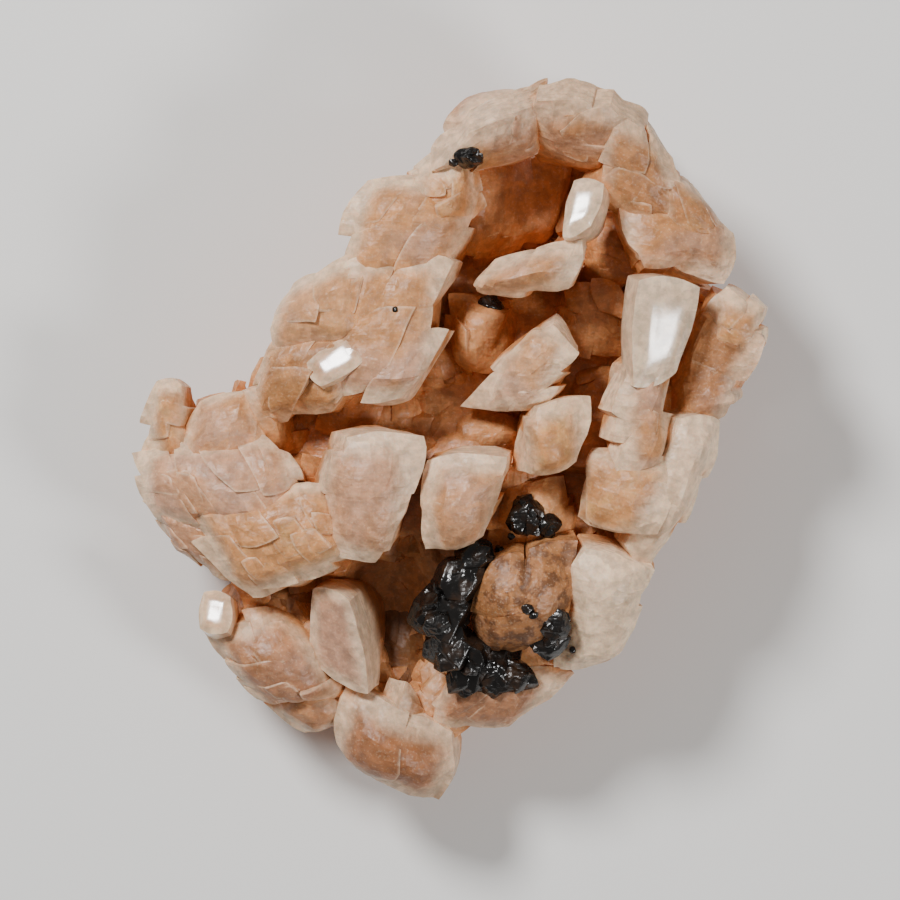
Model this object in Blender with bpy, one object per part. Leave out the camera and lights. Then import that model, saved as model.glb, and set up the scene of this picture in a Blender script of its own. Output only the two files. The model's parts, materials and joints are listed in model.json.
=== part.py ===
"""A cluster of curved "saddle" dolomite crystals on a broken crust, with dark sphalerite grains in it.

The crust lies on its underside, which is cut flat at Z = 0. The crystals that give the cluster its
look are listed by name, and rules add the small ones that fill the sides and the gaps. Crust and
crystals grew as one, so they are joined in one solid. Each sphalerite grain is a solid of its own,
in a pocket that is a little larger than the grain.
"""

import math
import random
from collections import namedtuple

import bmesh
import bpy
from mathutils import Euler, Matrix, Vector, noise
from mathutils.bvhtree import BVHTree

MM = 0.001

# Crust: outline of its top seen from above, in mm, inside the crystals' own outline
CRUST_OUTLINE = [
    (-0.4, 14.0), (3.6, 16.2), (8.2, 15.4), (11.8, 11.8), (13.4, 6.4), (12.0, 0.8), (9.2, -4.4),
    (7.4, -8.8), (3.8, -11.4), (-1.4, -15.2), (-5.8, -12.8), (-9.8, -9.2), (-11.4, -5.4),
    (-13.4, -2.0), (-12.4, 2.0), (-8.4, 4.4), (-6.6, 7.6), (-3.4, 10.4),
]
CRUST_HEIGHT = 5.4
CRUST_CUTS = (1.3, 3.2)
CRUST_COLUMNS = (-10, -6, -2, 2, 6, 10)
CRUST_DOME = 1.9
CRUST_DOME_REACH = 15.0
CRUST_PITS = [(-3.0, -8.6, 3.4, 3.2), (4.4, 12.6, 3.0, 1.2)]  # x, y, radius and depth in mm
FOOT_SHARE = 0.84
BULGE_SHARE = 0.05
CRUST_ROUGHNESS = 0.6
CRUST_GRAIN = 4.5

# Every crystal is a thick plate between four corners, which needn't lie in one plane: that gives it
# its saddle twist. corners: x, y, z in mm, anticlockwise seen from outside. dome: how far its middle
# swells. bow: how far its edges bulge. Both are in mm. RELIEF stretches all heights away from
# RELIEF_LEVEL, so it sets how rugged the top is.
Crystal = namedtuple("Crystal", "name corners thickness dome bow")
RELIEF = 1.3
RELIEF_LEVEL = 6.0
EDGE_THINNING = 0.4
ROOT = 2.0  # how far the underside of a listed crystal bulges down into what carries it, in mm
ROOT_DEPTH = 1.0  # how deep into the crust it reaches where the crystal stands well inside the outline
BROAD_CRYSTAL = 14.0  # a crystal with at least this area in mm2 is sliced finely
MAIN_CUTS = (-0.4, 0.4), (-0.4, 0.4)
SMALL_CUTS = (0.0,), (0.0,)

MAIN_CRYSTALS = [
    # The arch of plates round the upper hollow
    Crystal("crest_left", ((0.4, 14.2, 9.4), (4.6, 15.2, 8.0), (4.8, 17.5, 10.4), (0.9, 15.7, 10.6)), 1.9, -0.2, 0.2),
    Crystal("crest_peak", ((1.8, 15.4, 9.6), (4.4, 15.6, 9.4), (3.9, 18.0, 10.2), (2.6, 17.5, 10.0)), 1.7, 0.1, 0.1),
    Crystal("crest_top", ((4.2, 15.2, 7.8), (9.0, 14.4, 8.0), (8.9, 16.9, 10.3), (4.9, 17.4, 10.6)), 1.9, -0.3, 0.2),
    Crystal("crest_tip", ((4.8, 16.4, 9.7), (7.0, 16.0, 9.7), (7.4, 17.3, 10.0), (5.9, 18.0, 10.1)), 1.5, 0.1, 0.1),
    Crystal("crest_right", ((7.7, 12.6, 8.7), (11.8, 11.9, 8.9), (10.9, 15.3, 9.4), (8.2, 17.0, 10.0)), 2.1, -0.2, 0.2),
    Crystal("hollow_floor", ((0.6, 10.2, 8.2), (5.6, 11.2, 5.4), (6.4, 15.2, 5.8), (1.4, 14.6, 8.0)), 2.0, -0.8, 0.2),
    # The broad plates on the left shoulder
    Crystal("shoulder_top", ((-5.0, 8.4, 9.1), (-0.2, 8.4, 9.0), (1.5, 13.6, 8.7), (-3.8, 13.6, 9.3)), 2.4, 0.3, 0.2),
    Crystal("shoulder_rim", ((-1.8, 11.4, 9.0), (1.5, 11.8, 8.7), (1.6, 15.4, 9.4), (-1.2, 14.3, 9.5)), 1.9, 0.1, 0.1),
    Crystal("shoulder_main", ((-5.6, 3.1, 9.1), (-1.0, 3.2, 9.9), (0.0, 9.6, 9.6), (-5.0, 9.5, 9.6)), 2.6, -0.3, 0.1),
    Crystal("shoulder_outer", ((-8.7, 5.2, 8.5), (-3.6, 5.8, 9.7), (-3.6, 10.1, 9.5), (-8.0, 8.3, 8.8)), 2.3, 0.2, 0.2),
    Crystal("shoulder_low", ((-9.4, 1.6, 7.7), (-4.6, 2.6, 9.0), (-3.8, 6.6, 9.7), (-9.1, 6.0, 8.4)), 2.1, 0.2, 0.2),
    Crystal("shoulder_lip", ((-9.2, 0.4, 7.5), (-7.6, 0.8, 7.4), (-7.9, 3.8, 7.9), (-9.9, 3.2, 8.2)), 1.4, 0.1, 0.1),
    Crystal("shoulder_spark", ((-6.1, 3.3, 9.75), (-3.7, 4.8, 9.89), (-4.5, 6.1, 9.45), (-6.9, 4.6, 9.31)), 1.6, 0.0, 0.1),
    # The bar across the upper hollow
    Crystal("bar", ((1.2, 8.3, 9.2), (5.6, 8.0, 9.9), (6.8, 10.8, 10.3), (2.0, 9.7, 9.3)), 2.4, 0.2, 0.1),
    Crystal("bar_tip", ((5.9, 10.6, 10.14), (7.4, 11.3, 10.27), (8.1, 13.5, 9.91), (6.5, 13.8, 9.53)), 1.8, 0.0, 0.1),
    # The plates on the right flank
    Crystal("ledge", ((8.9, 9.3, 9.0), (13.6, 9.2, 8.6), (14.3, 11.8, 8.3), (9.2, 13.4, 9.0)), 2.2, -0.2, 0.2),
    Crystal("ledge_back", ((10.4, 11.2, 8.6), (14.2, 10.2, 8.1), (13.2, 12.8, 8.4), (10.9, 14.8, 9.0)), 2.0, 0.1, 0.2),
    Crystal("tall_blade", ((9.0, 3.4, 9.7), (11.2, 4.2, 9.17), (12.6, 8.8, 9.44), (9.2, 9.2, 10.5)), 1.9, 0.0, 0.1),
    Crystal("tall_blade_foot", ((8.9, -0.8, 9.3), (10.8, -0.6, 8.5), (11.2, 5.0, 9.0), (9.0, 5.2, 10.0)), 1.7, 0.1, 0.1),
    Crystal("outer_blade", ((10.9, 1.0, 7.5), (13.9, 2.2, 8.2), (15.7, 6.4, 8.9), (12.6, 8.3, 7.8)), 2.0, -0.4, 0.1),
    Crystal("outer_tip", ((12.8, 5.6, 8.0), (15.5, 5.2, 8.6), (15.6, 7.6, 8.7), (13.6, 8.6, 8.5)), 1.8, 0.0, 0.1),
    Crystal("flank_rim", ((8.8, -4.4, 8.5), (10.6, -5.0, 7.7), (13.8, 2.0, 8.1), (11.6, 2.2, 9.0)), 2.0, 0.1, 0.2),
    Crystal("flank_inner", ((6.2, -3.4, 8.3), (9.4, -4.2, 8.9), (11.4, -0.4, 9.1), (7.6, 0.4, 8.5)), 2.2, -0.2, 0.1),
    Crystal("flank_face", ((5.8, -10.4, 6.9), (8.7, -10.1, 6.9), (10.2, -4.9, 8.2), (6.4, -4.5, 8.6)), 2.4, 0.3, 0.2),
    # The chevron and the blocks in the middle
    Crystal("chevron_upper", ((1.5, 2.4, 8.5), (5.1, 2.8, 9.5), (5.9, 5.7, 10.1), (4.3, 6.8, 9.7)), 1.9, -0.1, 0.1),
    Crystal("chevron_lower", ((3.8, -1.0, 9.5), (7.0, -0.6, 9.3), (6.6, 2.8, 9.6), (3.7, 2.4, 10.0)), 2.0, 0.2, 0.1),
    Crystal("middle_block", ((-0.5, -4.9, 8.7), (2.0, -4.3, 8.9), (3.4, -0.3, 9.4), (-0.8, -0.1, 9.5)), 2.6, 0.2, 0.1),
    Crystal("golden_knob", ((1.9, -9.3, 7.4), (5.7, -9.5, 7.3), (6.2, -4.5, 8.5), (1.9, -5.3, 8.5)), 2.8, 0.5, 0.2),
    Crystal("left_knob", ((-5.6, -4.5, 8.7), (-2.4, -4.9, 8.9), (-2.0, 0.9, 9.7), (-6.1, 1.1, 9.3)), 2.8, 0.4, 0.2),
    # The low lobe on the left
    Crystal("lobe_upper", ((-13.4, -0.8, 7.3), (-8.4, -0.2, 7.9), (-9.4, 3.9, 7.6), (-12.4, 3.2, 7.1)), 2.1, 0.2, 0.1),
    Crystal("lobe_tab", ((-14.9, -0.4, 6.8), (-12.6, -0.2, 7.2), (-12.9, 3.6, 7.0), (-14.6, 4.0, 6.7)), 1.9, 0.2, 0.2),
    Crystal("lobe_middle", ((-14.6, -3.2, 7.1), (-7.0, -3.4, 8.5), (-8.2, 1.0, 8.2), (-15.3, 0.2, 7.0)), 2.3, 0.3, 0.2),
    Crystal("lobe_lower", ((-10.3, -7.0, 7.6), (-4.4, -5.2, 8.8), (-5.0, -1.4, 9.1), (-13.0, -1.8, 7.6)), 2.4, 0.3, 0.0),
    Crystal("lobe_edge", ((-13.2, -4.7, 6.6), (-10.6, -6.2, 7.0), (-10.6, -2.6, 7.5), (-15.1, -2.0, 6.8)), 1.9, 0.2, 0.1),
    # The foot of the cluster
    Crystal("foot_ridge", ((-12.0, -8.8, 6.2), (-9.0, -12.4, 5.5), (-5.0, -12.0, 6.0), (-8.0, -7.4, 6.7)), 2.6, 0.4, 0.2),
    Crystal("ridge_end", ((-12.3, -8.8, 6.59), (-10.8, -9.0, 6.93), (-10.6, -7.0, 6.51), (-12.1, -6.8, 6.17)), 1.5, 0.0, 0.1),
    Crystal("ridge_foot", ((-8.8, -12.5, 5.1), (-6.2, -14.4, 4.9), (-4.4, -12.6, 5.7), (-6.8, -10.8, 5.9)), 2.1, 0.2, 0.1),
    Crystal("pale_blade", ((-6.5, -10.2, 6.3), (-3.5, -12.0, 6.5), (-4.5, -6.7, 7.9), (-6.5, -6.2, 7.0)), 1.7, -0.1, 0.1),
    Crystal("foot_lobe", ((-5.4, -15.0, 5.3), (-0.9, -17.5, 5.1), (1.0, -14.1, 5.9), (-4.6, -12.0, 6.3)), 3.0, 0.6, 0.3),
    Crystal("foot_plate", ((-0.7, -13.3, 6.0), (3.3, -13.9, 5.9), (5.7, -10.9, 6.4), (0.2, -10.4, 6.6)), 2.2, 0.1, 0.1),
    # Small crystals down in the hollows
    Crystal("hollow_a", ((-0.2, 4.8, 6.9), (2.3, 4.2, 7.5), (3.4, 7.6, 8.1), (0.5, 8.2, 7.6)), 1.7, 0.1, 0.0),
    Crystal("hollow_b", ((0.0, -0.4, 6.9), (3.8, 0.0, 7.2), (3.6, 2.2, 7.5), (0.2, 2.4, 6.8)), 1.8, 0.0, 0.1),
    Crystal("hollow_c", ((5.4, 6.0, 7.6), (8.6, 5.2, 7.2), (8.9, 8.6, 7.5), (6.3, 9.4, 7.0)), 1.8, -0.2, 0.1),
    Crystal("hollow_d", ((6.3, -0.3, 7.8), (9.1, -0.2, 7.4), (8.9, 5.2, 6.0), (6.0, 4.4, 6.2)), 1.8, -0.3, 0.1),
    Crystal("hollow_j", ((2.3, -4.9, 7.1), (6.3, -4.6, 7.3), (6.2, -1.2, 7.7), (2.6, -1.5, 7.5)), 1.8, 0.1, 0.1),
    Crystal("hollow_e", ((-6.2, 1.2, 6.9), (-0.8, 0.6, 6.2), (-0.6, 3.2, 6.4), (-5.8, 3.6, 7.4)), 1.8, -0.2, 0.1),
    Crystal("hollow_f", ((-8.8, -2.6, 6.8), (-5.8, -2.4, 7.8), (-6.0, 0.0, 7.4), (-8.4, 1.0, 6.4)), 1.6, 0.0, 0.0),
    Crystal("hollow_g", ((-4.8, -11.6, 4.2), (-0.6, -12.8, 4.6), (-1.2, -5.6, 4.2), (-4.6, -5.4, 3.6)), 2.0, -0.5, 0.1),
    Crystal("hollow_h", ((-10.4, -8.0, 5.6), (-6.6, -9.4, 5.8), (-6.4, -5.8, 5.6), (-9.2, -6.0, 5.2)), 1.8, 0.0, 0.1),
    Crystal("hollow_i", ((6.6, 9.0, 6.6), (8.8, 8.8, 7.0), (9.2, 11.6, 7.2), (7.2, 12.6, 6.4)), 1.6, -0.1, 0.1),
]

# Puts the middle of the finished cluster's box on the Z axis, in mm
CENTRING = (-0.23, -0.426)

# Rules for the small crystals: their sizes are in mm and their angles in degrees
SEED = 7
SKIRT_ROWS = [  # height, how many crystals, size range, how far out of the crust's side
    (1.4, 16, (3.0, 4.2), -2.0),
    (3.4, 17, (3.4, 5.4), -1.3),
    (5.2, 16, (3.6, 5.0), -1.3),
]
SKIRT_LEAN = (10, 88)
SKIRT_TURN = 64
SKIRT_RISE = 0.8
FILL_STEP = 4.4
FILL_SIZE = (2.8, 4.0)
FILL_LEAN = 40
FILL_SINK = 0.4
SMALL_THICKNESS = 0.42
SMALL_WIDTH = 0.8
SMALL_SKEW = 0.2
SMALL_TWIST = 0.1

# Sphalerite: each grain is one lump or several grown together. Each lump is x, y, z and width in mm.
# Where z is None the lump sits on the dolomite.
SPHALERITE_GRAINS = {
    "sphalerite_grain_large": [
        (1.5, -4.9, 8.3, 2.0), (0.6, -6.1, 8.2, 2.5), (-0.2, -7.7, 7.8, 3.2), (0.2, -9.4, 7.5, 3.0),
        (1.2, -10.3, 7.2, 2.8), (2.3, -10.8, 7.1, 2.5), (3.4, -10.9, 7.1, 2.0),
    ],
    "sphalerite_grain_middle": [(4.1, -2.9, None, 2.1), (5.0, -3.3, None, 1.4)],
    "sphalerite_grain_flank": [(5.4, -8.2, None, 1.8), (5.2, -9.1, None, 1.7)],
    "sphalerite_grain_crest": [(1.2, 15.0, None, 1.4)],
    "sphalerite_grain_bar": [(2.2, 7.7, None, 1.2)],
}
LUMP_SHAPE = (1.0, 0.88, 0.84)
GRAIN_SINK = 0.3
POCKET_GAP = 0.45


def clear_scene():
    for obj in list(bpy.data.objects):
        bpy.data.objects.remove(obj)


def make_collection(name):
    collection = bpy.data.collections.new(name)
    bpy.context.scene.collection.children.link(collection)
    return collection


def make_material(name, colour, roughness):
    material = bpy.data.materials.new(name)
    material.use_nodes = True
    shader = material.node_tree.nodes["Principled BSDF"]
    shader.inputs["Base Color"].default_value = (*colour, 1.0)
    shader.inputs["Roughness"].default_value = roughness
    return material


def add_object(name, mesh, collection, helper=False):
    obj = bpy.data.objects.new(name, mesh)
    collection.objects.link(obj)
    if helper:
        obj.hide_render = True
        obj.display_type = "WIRE"
    return obj


def slice_mesh(bm, axis, cuts):
    """Cuts the mesh across one axis at each of these places, to give it rows of vertices to bend."""
    normal = Vector((0, 0, 0))
    normal[axis] = 1
    for cut in cuts:
        geometry = bm.verts[:] + bm.edges[:] + bm.faces[:]
        bmesh.ops.bisect_plane(bm, geom=geometry, plane_co=normal * cut, plane_no=normal)


def stretched(z):
    """A listed height with the relief applied."""
    return RELIEF_LEVEL + (z - RELIEF_LEVEL) * RELIEF


def root_length(crystal):
    """How far the crystal's underside has to bulge down: a crystal high over the crust has a long root."""
    x, y, z = sum((Vector(corner) for corner in crystal.corners), Vector()) / 4
    if not inside_outline(1.3 * x, 1.3 * y, CRUST_OUTLINE):
        return ROOT
    return max(ROOT, (stretched(z) - crystal.thickness / 2 - crust_top(x, y) + ROOT_DEPTH) / 0.7)


def is_broad(crystal):
    first, second, third, fourth = (Vector(corner) for corner in crystal.corners)
    return (third - first).cross(fourth - second).length / 2 >= BROAD_CRYSTAL


def crystal_mesh(crystal, cuts, root=0.0):
    """A cube sliced into rows and laid between the four corners, with thin edges and a swollen middle.

    Its underside bulges down by root.
    """
    first, second, third, fourth = (Vector((x, y, stretched(z))) for x, y, z in crystal.corners)
    normal = (third - first).cross(fourth - second).normalized()
    along = (second - first + third - fourth).normalized()
    across = (fourth - first + third - second).normalized()
    bm = bmesh.new()
    bmesh.ops.create_cube(bm, size=2.0)
    slice_mesh(bm, 0, cuts[0])
    slice_mesh(bm, 1, cuts[1])
    for vertex in bm.verts:
        a, b, c = vertex.co
        near = first.lerp(second, (a + 1) / 2)
        far = fourth.lerp(third, (a + 1) / 2)
        point = near.lerp(far, (b + 1) / 2)
        point += along * crystal.bow * a * (1 - b * b) + across * crystal.bow * b * (1 - a * a)
        thin = 1 - EDGE_THINNING * (a * a + b * b) / 2
        swell = crystal.dome - (root if c < 0 else 0)
        point += normal * (c * crystal.thickness / 2 * thin + swell * (1 - a * a) * (1 - b * b))
        vertex.co = point * MM
    mesh = bpy.data.meshes.new(crystal.name)
    bm.to_mesh(mesh)
    bm.free()
    return mesh


def small_crystal(name, at, turn, lean, size):
    """A skewed and twisted rhomb, rolled about its long axis and then turned as seen from above."""
    half, side, twist = size / 2, size * SMALL_WIDTH / 2, size * SMALL_TWIST
    skew = side * SMALL_SKEW
    flat = [
        (-half - skew, -side, twist), (half - skew, -side, -twist),
        (half + skew, side, twist), (-half + skew, side, -twist),
    ]
    turned = Euler((math.radians(lean), 0, math.radians(turn))).to_matrix()
    corners = tuple(tuple(Vector(at) + turned @ Vector(corner)) for corner in flat)
    return Crystal(name, corners, size * SMALL_THICKNESS, 0.0, 0.0)


def point_along(outline, share):
    """The point at this share of the way round a closed outline, and the direction out of it."""
    ends = list(zip(outline, outline[1:] + outline[:1]))
    lengths = [math.dist(start, end) for start, end in ends]
    left = share * sum(lengths)
    for (start, end), length in zip(ends, lengths):
        if left <= length:
            break
        left -= length
    along = Vector((end[0] - start[0], end[1] - start[1])) / length
    return Vector(start) + along * left, Vector((-along.y, along.x))


def skirt_crystals():
    """Rows of small plates that stick out of the sides of the crust."""
    rng = random.Random(SEED)
    made = []
    for row, (height, count, sizes, out) in enumerate(SKIRT_ROWS):
        for number in range(count):
            share = (number + rng.uniform(0.2, 0.8)) / count
            place, outward = point_along(CRUST_OUTLINE, share)
            place += outward * (out + rng.uniform(-0.3, 0.3))
            heading = math.degrees(math.atan2(outward.y, outward.x)) + 90
            made.append(
                small_crystal(
                    f"skirt_{row}_{number}",
                    (place.x, place.y, height + rng.uniform(-SKIRT_RISE, SKIRT_RISE)),
                    heading + rng.uniform(-SKIRT_TURN, SKIRT_TURN),
                    rng.uniform(*SKIRT_LEAN),
                    rng.uniform(*sizes),
                )
            )
    return made


def inside_outline(x, y, outline):
    """Counts the sides that a line to the right crosses: an odd count is inside."""
    crossed = False
    for (ax, ay), (bx, by) in zip(outline, outline[1:] + outline[:1]):
        if (ay > y) != (by > y) and x < ax + (y - ay) * (bx - ax) / (by - ay):
            crossed = not crossed
    return crossed


def fill_crystals():
    """Small plates at odd angles on a loose grid over the top of the crust."""
    rng = random.Random(SEED + 1)
    made = []
    reach = math.ceil(18 / FILL_STEP)
    for row in range(-reach, reach + 1):
        for column in range(-reach, reach + 1):
            x = (column + rng.uniform(-0.3, 0.3)) * FILL_STEP
            y = (row + rng.uniform(-0.3, 0.3)) * FILL_STEP
            turn, lean = rng.uniform(0, 360), rng.uniform(-FILL_LEAN, FILL_LEAN)
            size = rng.uniform(*FILL_SIZE)
            if inside_outline(x, y, CRUST_OUTLINE):
                at = (x, y, crust_top(x, y) - FILL_SINK)
                made.append(small_crystal(f"fill_{row}_{column}", at, turn, lean, size))
    return made


def crust_top(x, y):
    """Height of the crust's top in mm: it swells in the middle and sinks under the deep hollows."""
    height = CRUST_HEIGHT + CRUST_DOME * max(0.0, 1 - (x * x + y * y) / CRUST_DOME_REACH**2)
    for pit_x, pit_y, radius, depth in CRUST_PITS:
        away = math.dist((x, y), (pit_x, pit_y)) / radius
        height -= depth * math.exp(-away * away)
    return height


def crust_mesh():
    """The outline filled and given its height, drawn in towards the foot, and roughened as broken rock."""
    curve = bpy.data.curves.new("crust_outline", "CURVE")
    curve.dimensions = "2D"
    curve.fill_mode = "BOTH"
    curve.extrude = CRUST_HEIGHT * MM / 2
    spline = curve.splines.new("POLY")
    spline.points.add(len(CRUST_OUTLINE) - 1)
    for point, (x, y) in zip(spline.points, CRUST_OUTLINE):
        point.co = (x * MM, y * MM, 0, 1)
    spline.use_cyclic_u = True
    guide = add_object("crust_outline", curve, bpy.context.scene.collection)
    bpy.context.view_layer.update()
    mesh = bpy.data.meshes.new_from_object(guide.evaluated_get(bpy.context.evaluated_depsgraph_get()))
    bpy.data.objects.remove(guide)

    bm = bmesh.new()
    bm.from_mesh(mesh)
    bmesh.ops.remove_doubles(bm, verts=bm.verts[:], dist=0.01 * MM)
    bmesh.ops.translate(bm, verts=bm.verts[:], vec=(0, 0, CRUST_HEIGHT * MM / 2))
    slice_mesh(bm, 2, [cut * MM for cut in CRUST_CUTS])
    slice_mesh(bm, 0, [cut * MM for cut in CRUST_COLUMNS])
    slice_mesh(bm, 1, [cut * MM for cut in CRUST_COLUMNS])
    for vertex in bm.verts:
        share = vertex.co.z / (CRUST_HEIGHT * MM)
        vertex.co.z = share * crust_top(vertex.co.x / MM, vertex.co.y / MM) * MM
        reach = FOOT_SHARE + (1 - FOOT_SHARE) * share + BULGE_SHARE * math.sin(math.pi * share)
        wander = noise.noise_vector(vertex.co / (CRUST_GRAIN * MM)) * CRUST_ROUGHNESS * MM
        vertex.co.x = vertex.co.x * reach + wander.x
        vertex.co.y = vertex.co.y * reach + wander.y
    bmesh.ops.recalc_face_normals(bm, faces=bm.faces[:])
    bm.to_mesh(mesh)
    bm.free()
    return mesh


def cut_mesh():
    """A block under Z = 0 that takes off what would stick out below the flat underside."""
    bm = bmesh.new()
    bmesh.ops.create_cube(bm, size=1.0)
    bmesh.ops.transform(bm, matrix=Matrix.Diagonal((60, 60, 12, 1)) * MM, verts=bm.verts[:])
    bmesh.ops.translate(bm, verts=bm.verts[:], vec=(0, 0, -6 * MM))
    mesh = bpy.data.meshes.new("underside_cut")
    bm.to_mesh(mesh)
    bm.free()
    return mesh


def add_boolean(obj, name, operation, collection):
    boolean = obj.modifiers.new(name, "BOOLEAN")
    boolean.operation = operation
    boolean.operand_type = "COLLECTION"
    boolean.collection = collection
    boolean.solver = "EXACT"


def outer_shell(obj, name):
    """The evaluated mesh without the small voids between crystals, so that they are solid, and without loose chips."""
    graph = bpy.context.evaluated_depsgraph_get()
    mesh = bpy.data.meshes.new_from_object(obj.evaluated_get(graph))
    mesh.name = name
    bm = bmesh.new()
    bm.from_mesh(mesh)
    shells = []
    waiting = set(bm.faces)
    while waiting:
        reached = [waiting.pop()]
        for face in reached:
            sound_edges = [edge for edge in face.edges if edge.is_manifold]
            neighbours = {other for edge in sound_edges for other in edge.link_faces} & waiting
            waiting -= neighbours
            reached.extend(neighbours)
        shells.append(reached)
    shells.sort(key=len)
    bmesh.ops.delete(bm, geom=[face for shell in shells[:-1] for face in shell], context="FACES")
    bm.to_mesh(mesh)
    bm.free()
    return mesh


def join_crystals():
    """The crust with every crystal joined to it, cut flat below."""
    growth = make_collection("crystals_to_join")
    for crystal in MAIN_CRYSTALS:
        cuts = MAIN_CUTS if is_broad(crystal) else SMALL_CUTS
        add_object(crystal.name, crystal_mesh(crystal, cuts, root_length(crystal)), growth, helper=True)
    for crystal in skirt_crystals() + fill_crystals():
        add_object(crystal.name, crystal_mesh(crystal, SMALL_CUTS), growth, helper=True)
    crust = add_object("crust", crust_mesh(), make_collection("crust_to_join"), helper=True)
    add_boolean(crust, "join crystals", "UNION", growth)
    below = make_collection("underside_cutter")
    add_object("underside_cut", cut_mesh(), below, helper=True)
    add_boolean(crust, "cut underside", "DIFFERENCE", below)
    return crust


def lump_mesh(name, place, width, turn, extra=0.0):
    """A blocky many-sided lump, flattened a little and turned."""
    bm = bmesh.new()
    made = bmesh.ops.create_icosphere(bm, subdivisions=1, radius=(width / 2 + extra) * MM)
    turned = Euler((turn, turn * 0.7, turn * 1.9)).to_matrix().to_4x4()
    matrix = Matrix.Translation(Vector(place) * MM) @ turned @ Matrix.Diagonal((*LUMP_SHAPE, 1.0))
    bmesh.ops.transform(bm, matrix=matrix, verts=made["verts"])
    mesh = bpy.data.meshes.new(name)
    bm.to_mesh(mesh)
    bm.free()
    return mesh


def make_grains(crust, parts, material):
    """The sphalerite grains, and the pockets in the dolomite that hold them."""
    pockets = make_collection("pocket_cutters")
    bpy.context.view_layer.update()
    surface = BVHTree.FromObject(crust, bpy.context.evaluated_depsgraph_get())
    for name, lumps in SPHALERITE_GRAINS.items():
        joined = make_collection(name + "_lumps")
        for number, (x, y, z, width) in enumerate(lumps):
            if z is not None:
                z = stretched(z)
            else:
                hit = surface.ray_cast(Vector((x, y, 40)) * MM, Vector((0, 0, -1)))[0]
                z = hit.z / MM - GRAIN_SINK
            turn = 0.8 * number + width
            lump = lump_mesh(f"{name}_{number}", (x, y, z), width, turn)
            if number == 0:
                grain = add_object(name, lump, parts)
            else:
                add_object(lump.name, lump, joined, helper=True)
            cutter = lump_mesh(f"{name}_pocket_{number}", (x, y, z), width, turn, POCKET_GAP)
            add_object(cutter.name, cutter, pockets, helper=True)
        grain.data.materials.append(material)
        if len(lumps) > 1:
            add_boolean(grain, "join lumps", "UNION", joined)
    add_boolean(crust, "cut pockets", "DIFFERENCE", pockets)


def main():
    clear_scene()
    parts = make_collection("Dolomite cluster")
    dolomite_pink = make_material("dolomite", (0.78, 0.53, 0.39), 0.42)
    sphalerite_black = make_material("sphalerite", (0.035, 0.03, 0.028), 0.25)
    crust = join_crystals()
    make_grains(crust, parts, sphalerite_black)
    bpy.context.view_layer.update()
    dolomite = add_object("dolomite_cluster", outer_shell(crust, "dolomite_cluster"), parts)
    dolomite.data.materials.append(dolomite_pink)
    for obj in bpy.data.objects:
        obj.location = (CENTRING[0] * MM, CENTRING[1] * MM, 0)


if __name__ == "__main__":
    main()
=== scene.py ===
"""A cluster of curved "saddle" dolomite crystals on a broken crust, with sphalerite grains in it.

The crystals stand where the frame's solids have them, from the same corners. Each is a closed surface
worked out on a grid and broken into the small blocks and steps that saddle dolomite shows. All are
joined in one mesh, whose corners keep each crystal's own coordinates for the material.
"""

import json
import math
import random
from collections import namedtuple
from itertools import product

import bmesh
import bpy
import numpy as np
from bpy.props import FloatProperty, FloatVectorProperty, IntProperty, PointerProperty
from mathutils import Matrix, Vector
from mathutils.bvhtree import BVHTree

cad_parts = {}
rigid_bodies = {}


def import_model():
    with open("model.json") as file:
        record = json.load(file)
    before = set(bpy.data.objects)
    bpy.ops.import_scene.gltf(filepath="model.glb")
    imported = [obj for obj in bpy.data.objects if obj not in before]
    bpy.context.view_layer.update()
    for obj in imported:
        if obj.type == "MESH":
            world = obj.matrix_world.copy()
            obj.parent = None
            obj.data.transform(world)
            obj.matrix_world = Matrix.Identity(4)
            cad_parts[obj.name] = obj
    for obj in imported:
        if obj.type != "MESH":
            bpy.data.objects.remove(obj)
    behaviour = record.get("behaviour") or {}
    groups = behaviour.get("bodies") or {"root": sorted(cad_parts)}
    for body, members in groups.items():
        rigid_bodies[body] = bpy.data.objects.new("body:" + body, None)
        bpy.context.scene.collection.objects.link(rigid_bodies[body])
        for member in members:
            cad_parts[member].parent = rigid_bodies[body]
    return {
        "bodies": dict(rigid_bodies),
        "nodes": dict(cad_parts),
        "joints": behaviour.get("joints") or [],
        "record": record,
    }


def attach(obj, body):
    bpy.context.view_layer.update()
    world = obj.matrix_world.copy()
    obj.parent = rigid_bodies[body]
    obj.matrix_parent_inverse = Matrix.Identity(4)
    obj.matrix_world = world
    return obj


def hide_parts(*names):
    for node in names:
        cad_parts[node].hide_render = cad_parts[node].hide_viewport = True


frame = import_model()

bl_info = {
    "name": "Dolomite cluster",
    "version": (1, 0, 0),
    "blender": (4, 5, 0),
    "location": "3D View > Sidebar > Mineral",
    "description": "Grows a cluster of saddle dolomite crystals with sphalerite grains",
    "category": "Object",
}

MM = 0.001

# Crust: outline of its top seen from above, in mm
CRUST_OUTLINE = [
    (-0.4, 14.0), (3.6, 16.2), (8.2, 15.4), (11.8, 11.8), (13.4, 6.4), (12.0, 0.8), (9.2, -4.4),
    (7.4, -8.8), (3.8, -11.4), (-1.4, -15.2), (-5.8, -12.8), (-9.8, -9.2), (-11.4, -5.4),
    (-13.4, -2.0), (-12.4, 2.0), (-8.4, 4.4), (-6.6, 7.6), (-3.4, 10.4),
]
OUTLINE_PLACES = 720  # how many points are taken along it
CRUST_GRID = (64, 64, 10)
CRUST_HEIGHT = 5.4
CRUST_DOME = 1.9
CRUST_DOME_REACH = 15.0
CRUST_PITS = [(-3.0, -8.6, 3.4, 3.2), (4.4, 12.6, 3.0, 1.2)]  # x, y, radius and depth in mm
CRUST_BREAKS = [(0.5, 2.6, 50), (0.22, 0.9, 60), (0.09, 0.35, 70)]  # depth and size in mm, and seed
FOOT_SHARE = 0.84  # the foot's reach as a share of the top's, and how far the side bulges between them
BULGE_SHARE = 0.05
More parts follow.
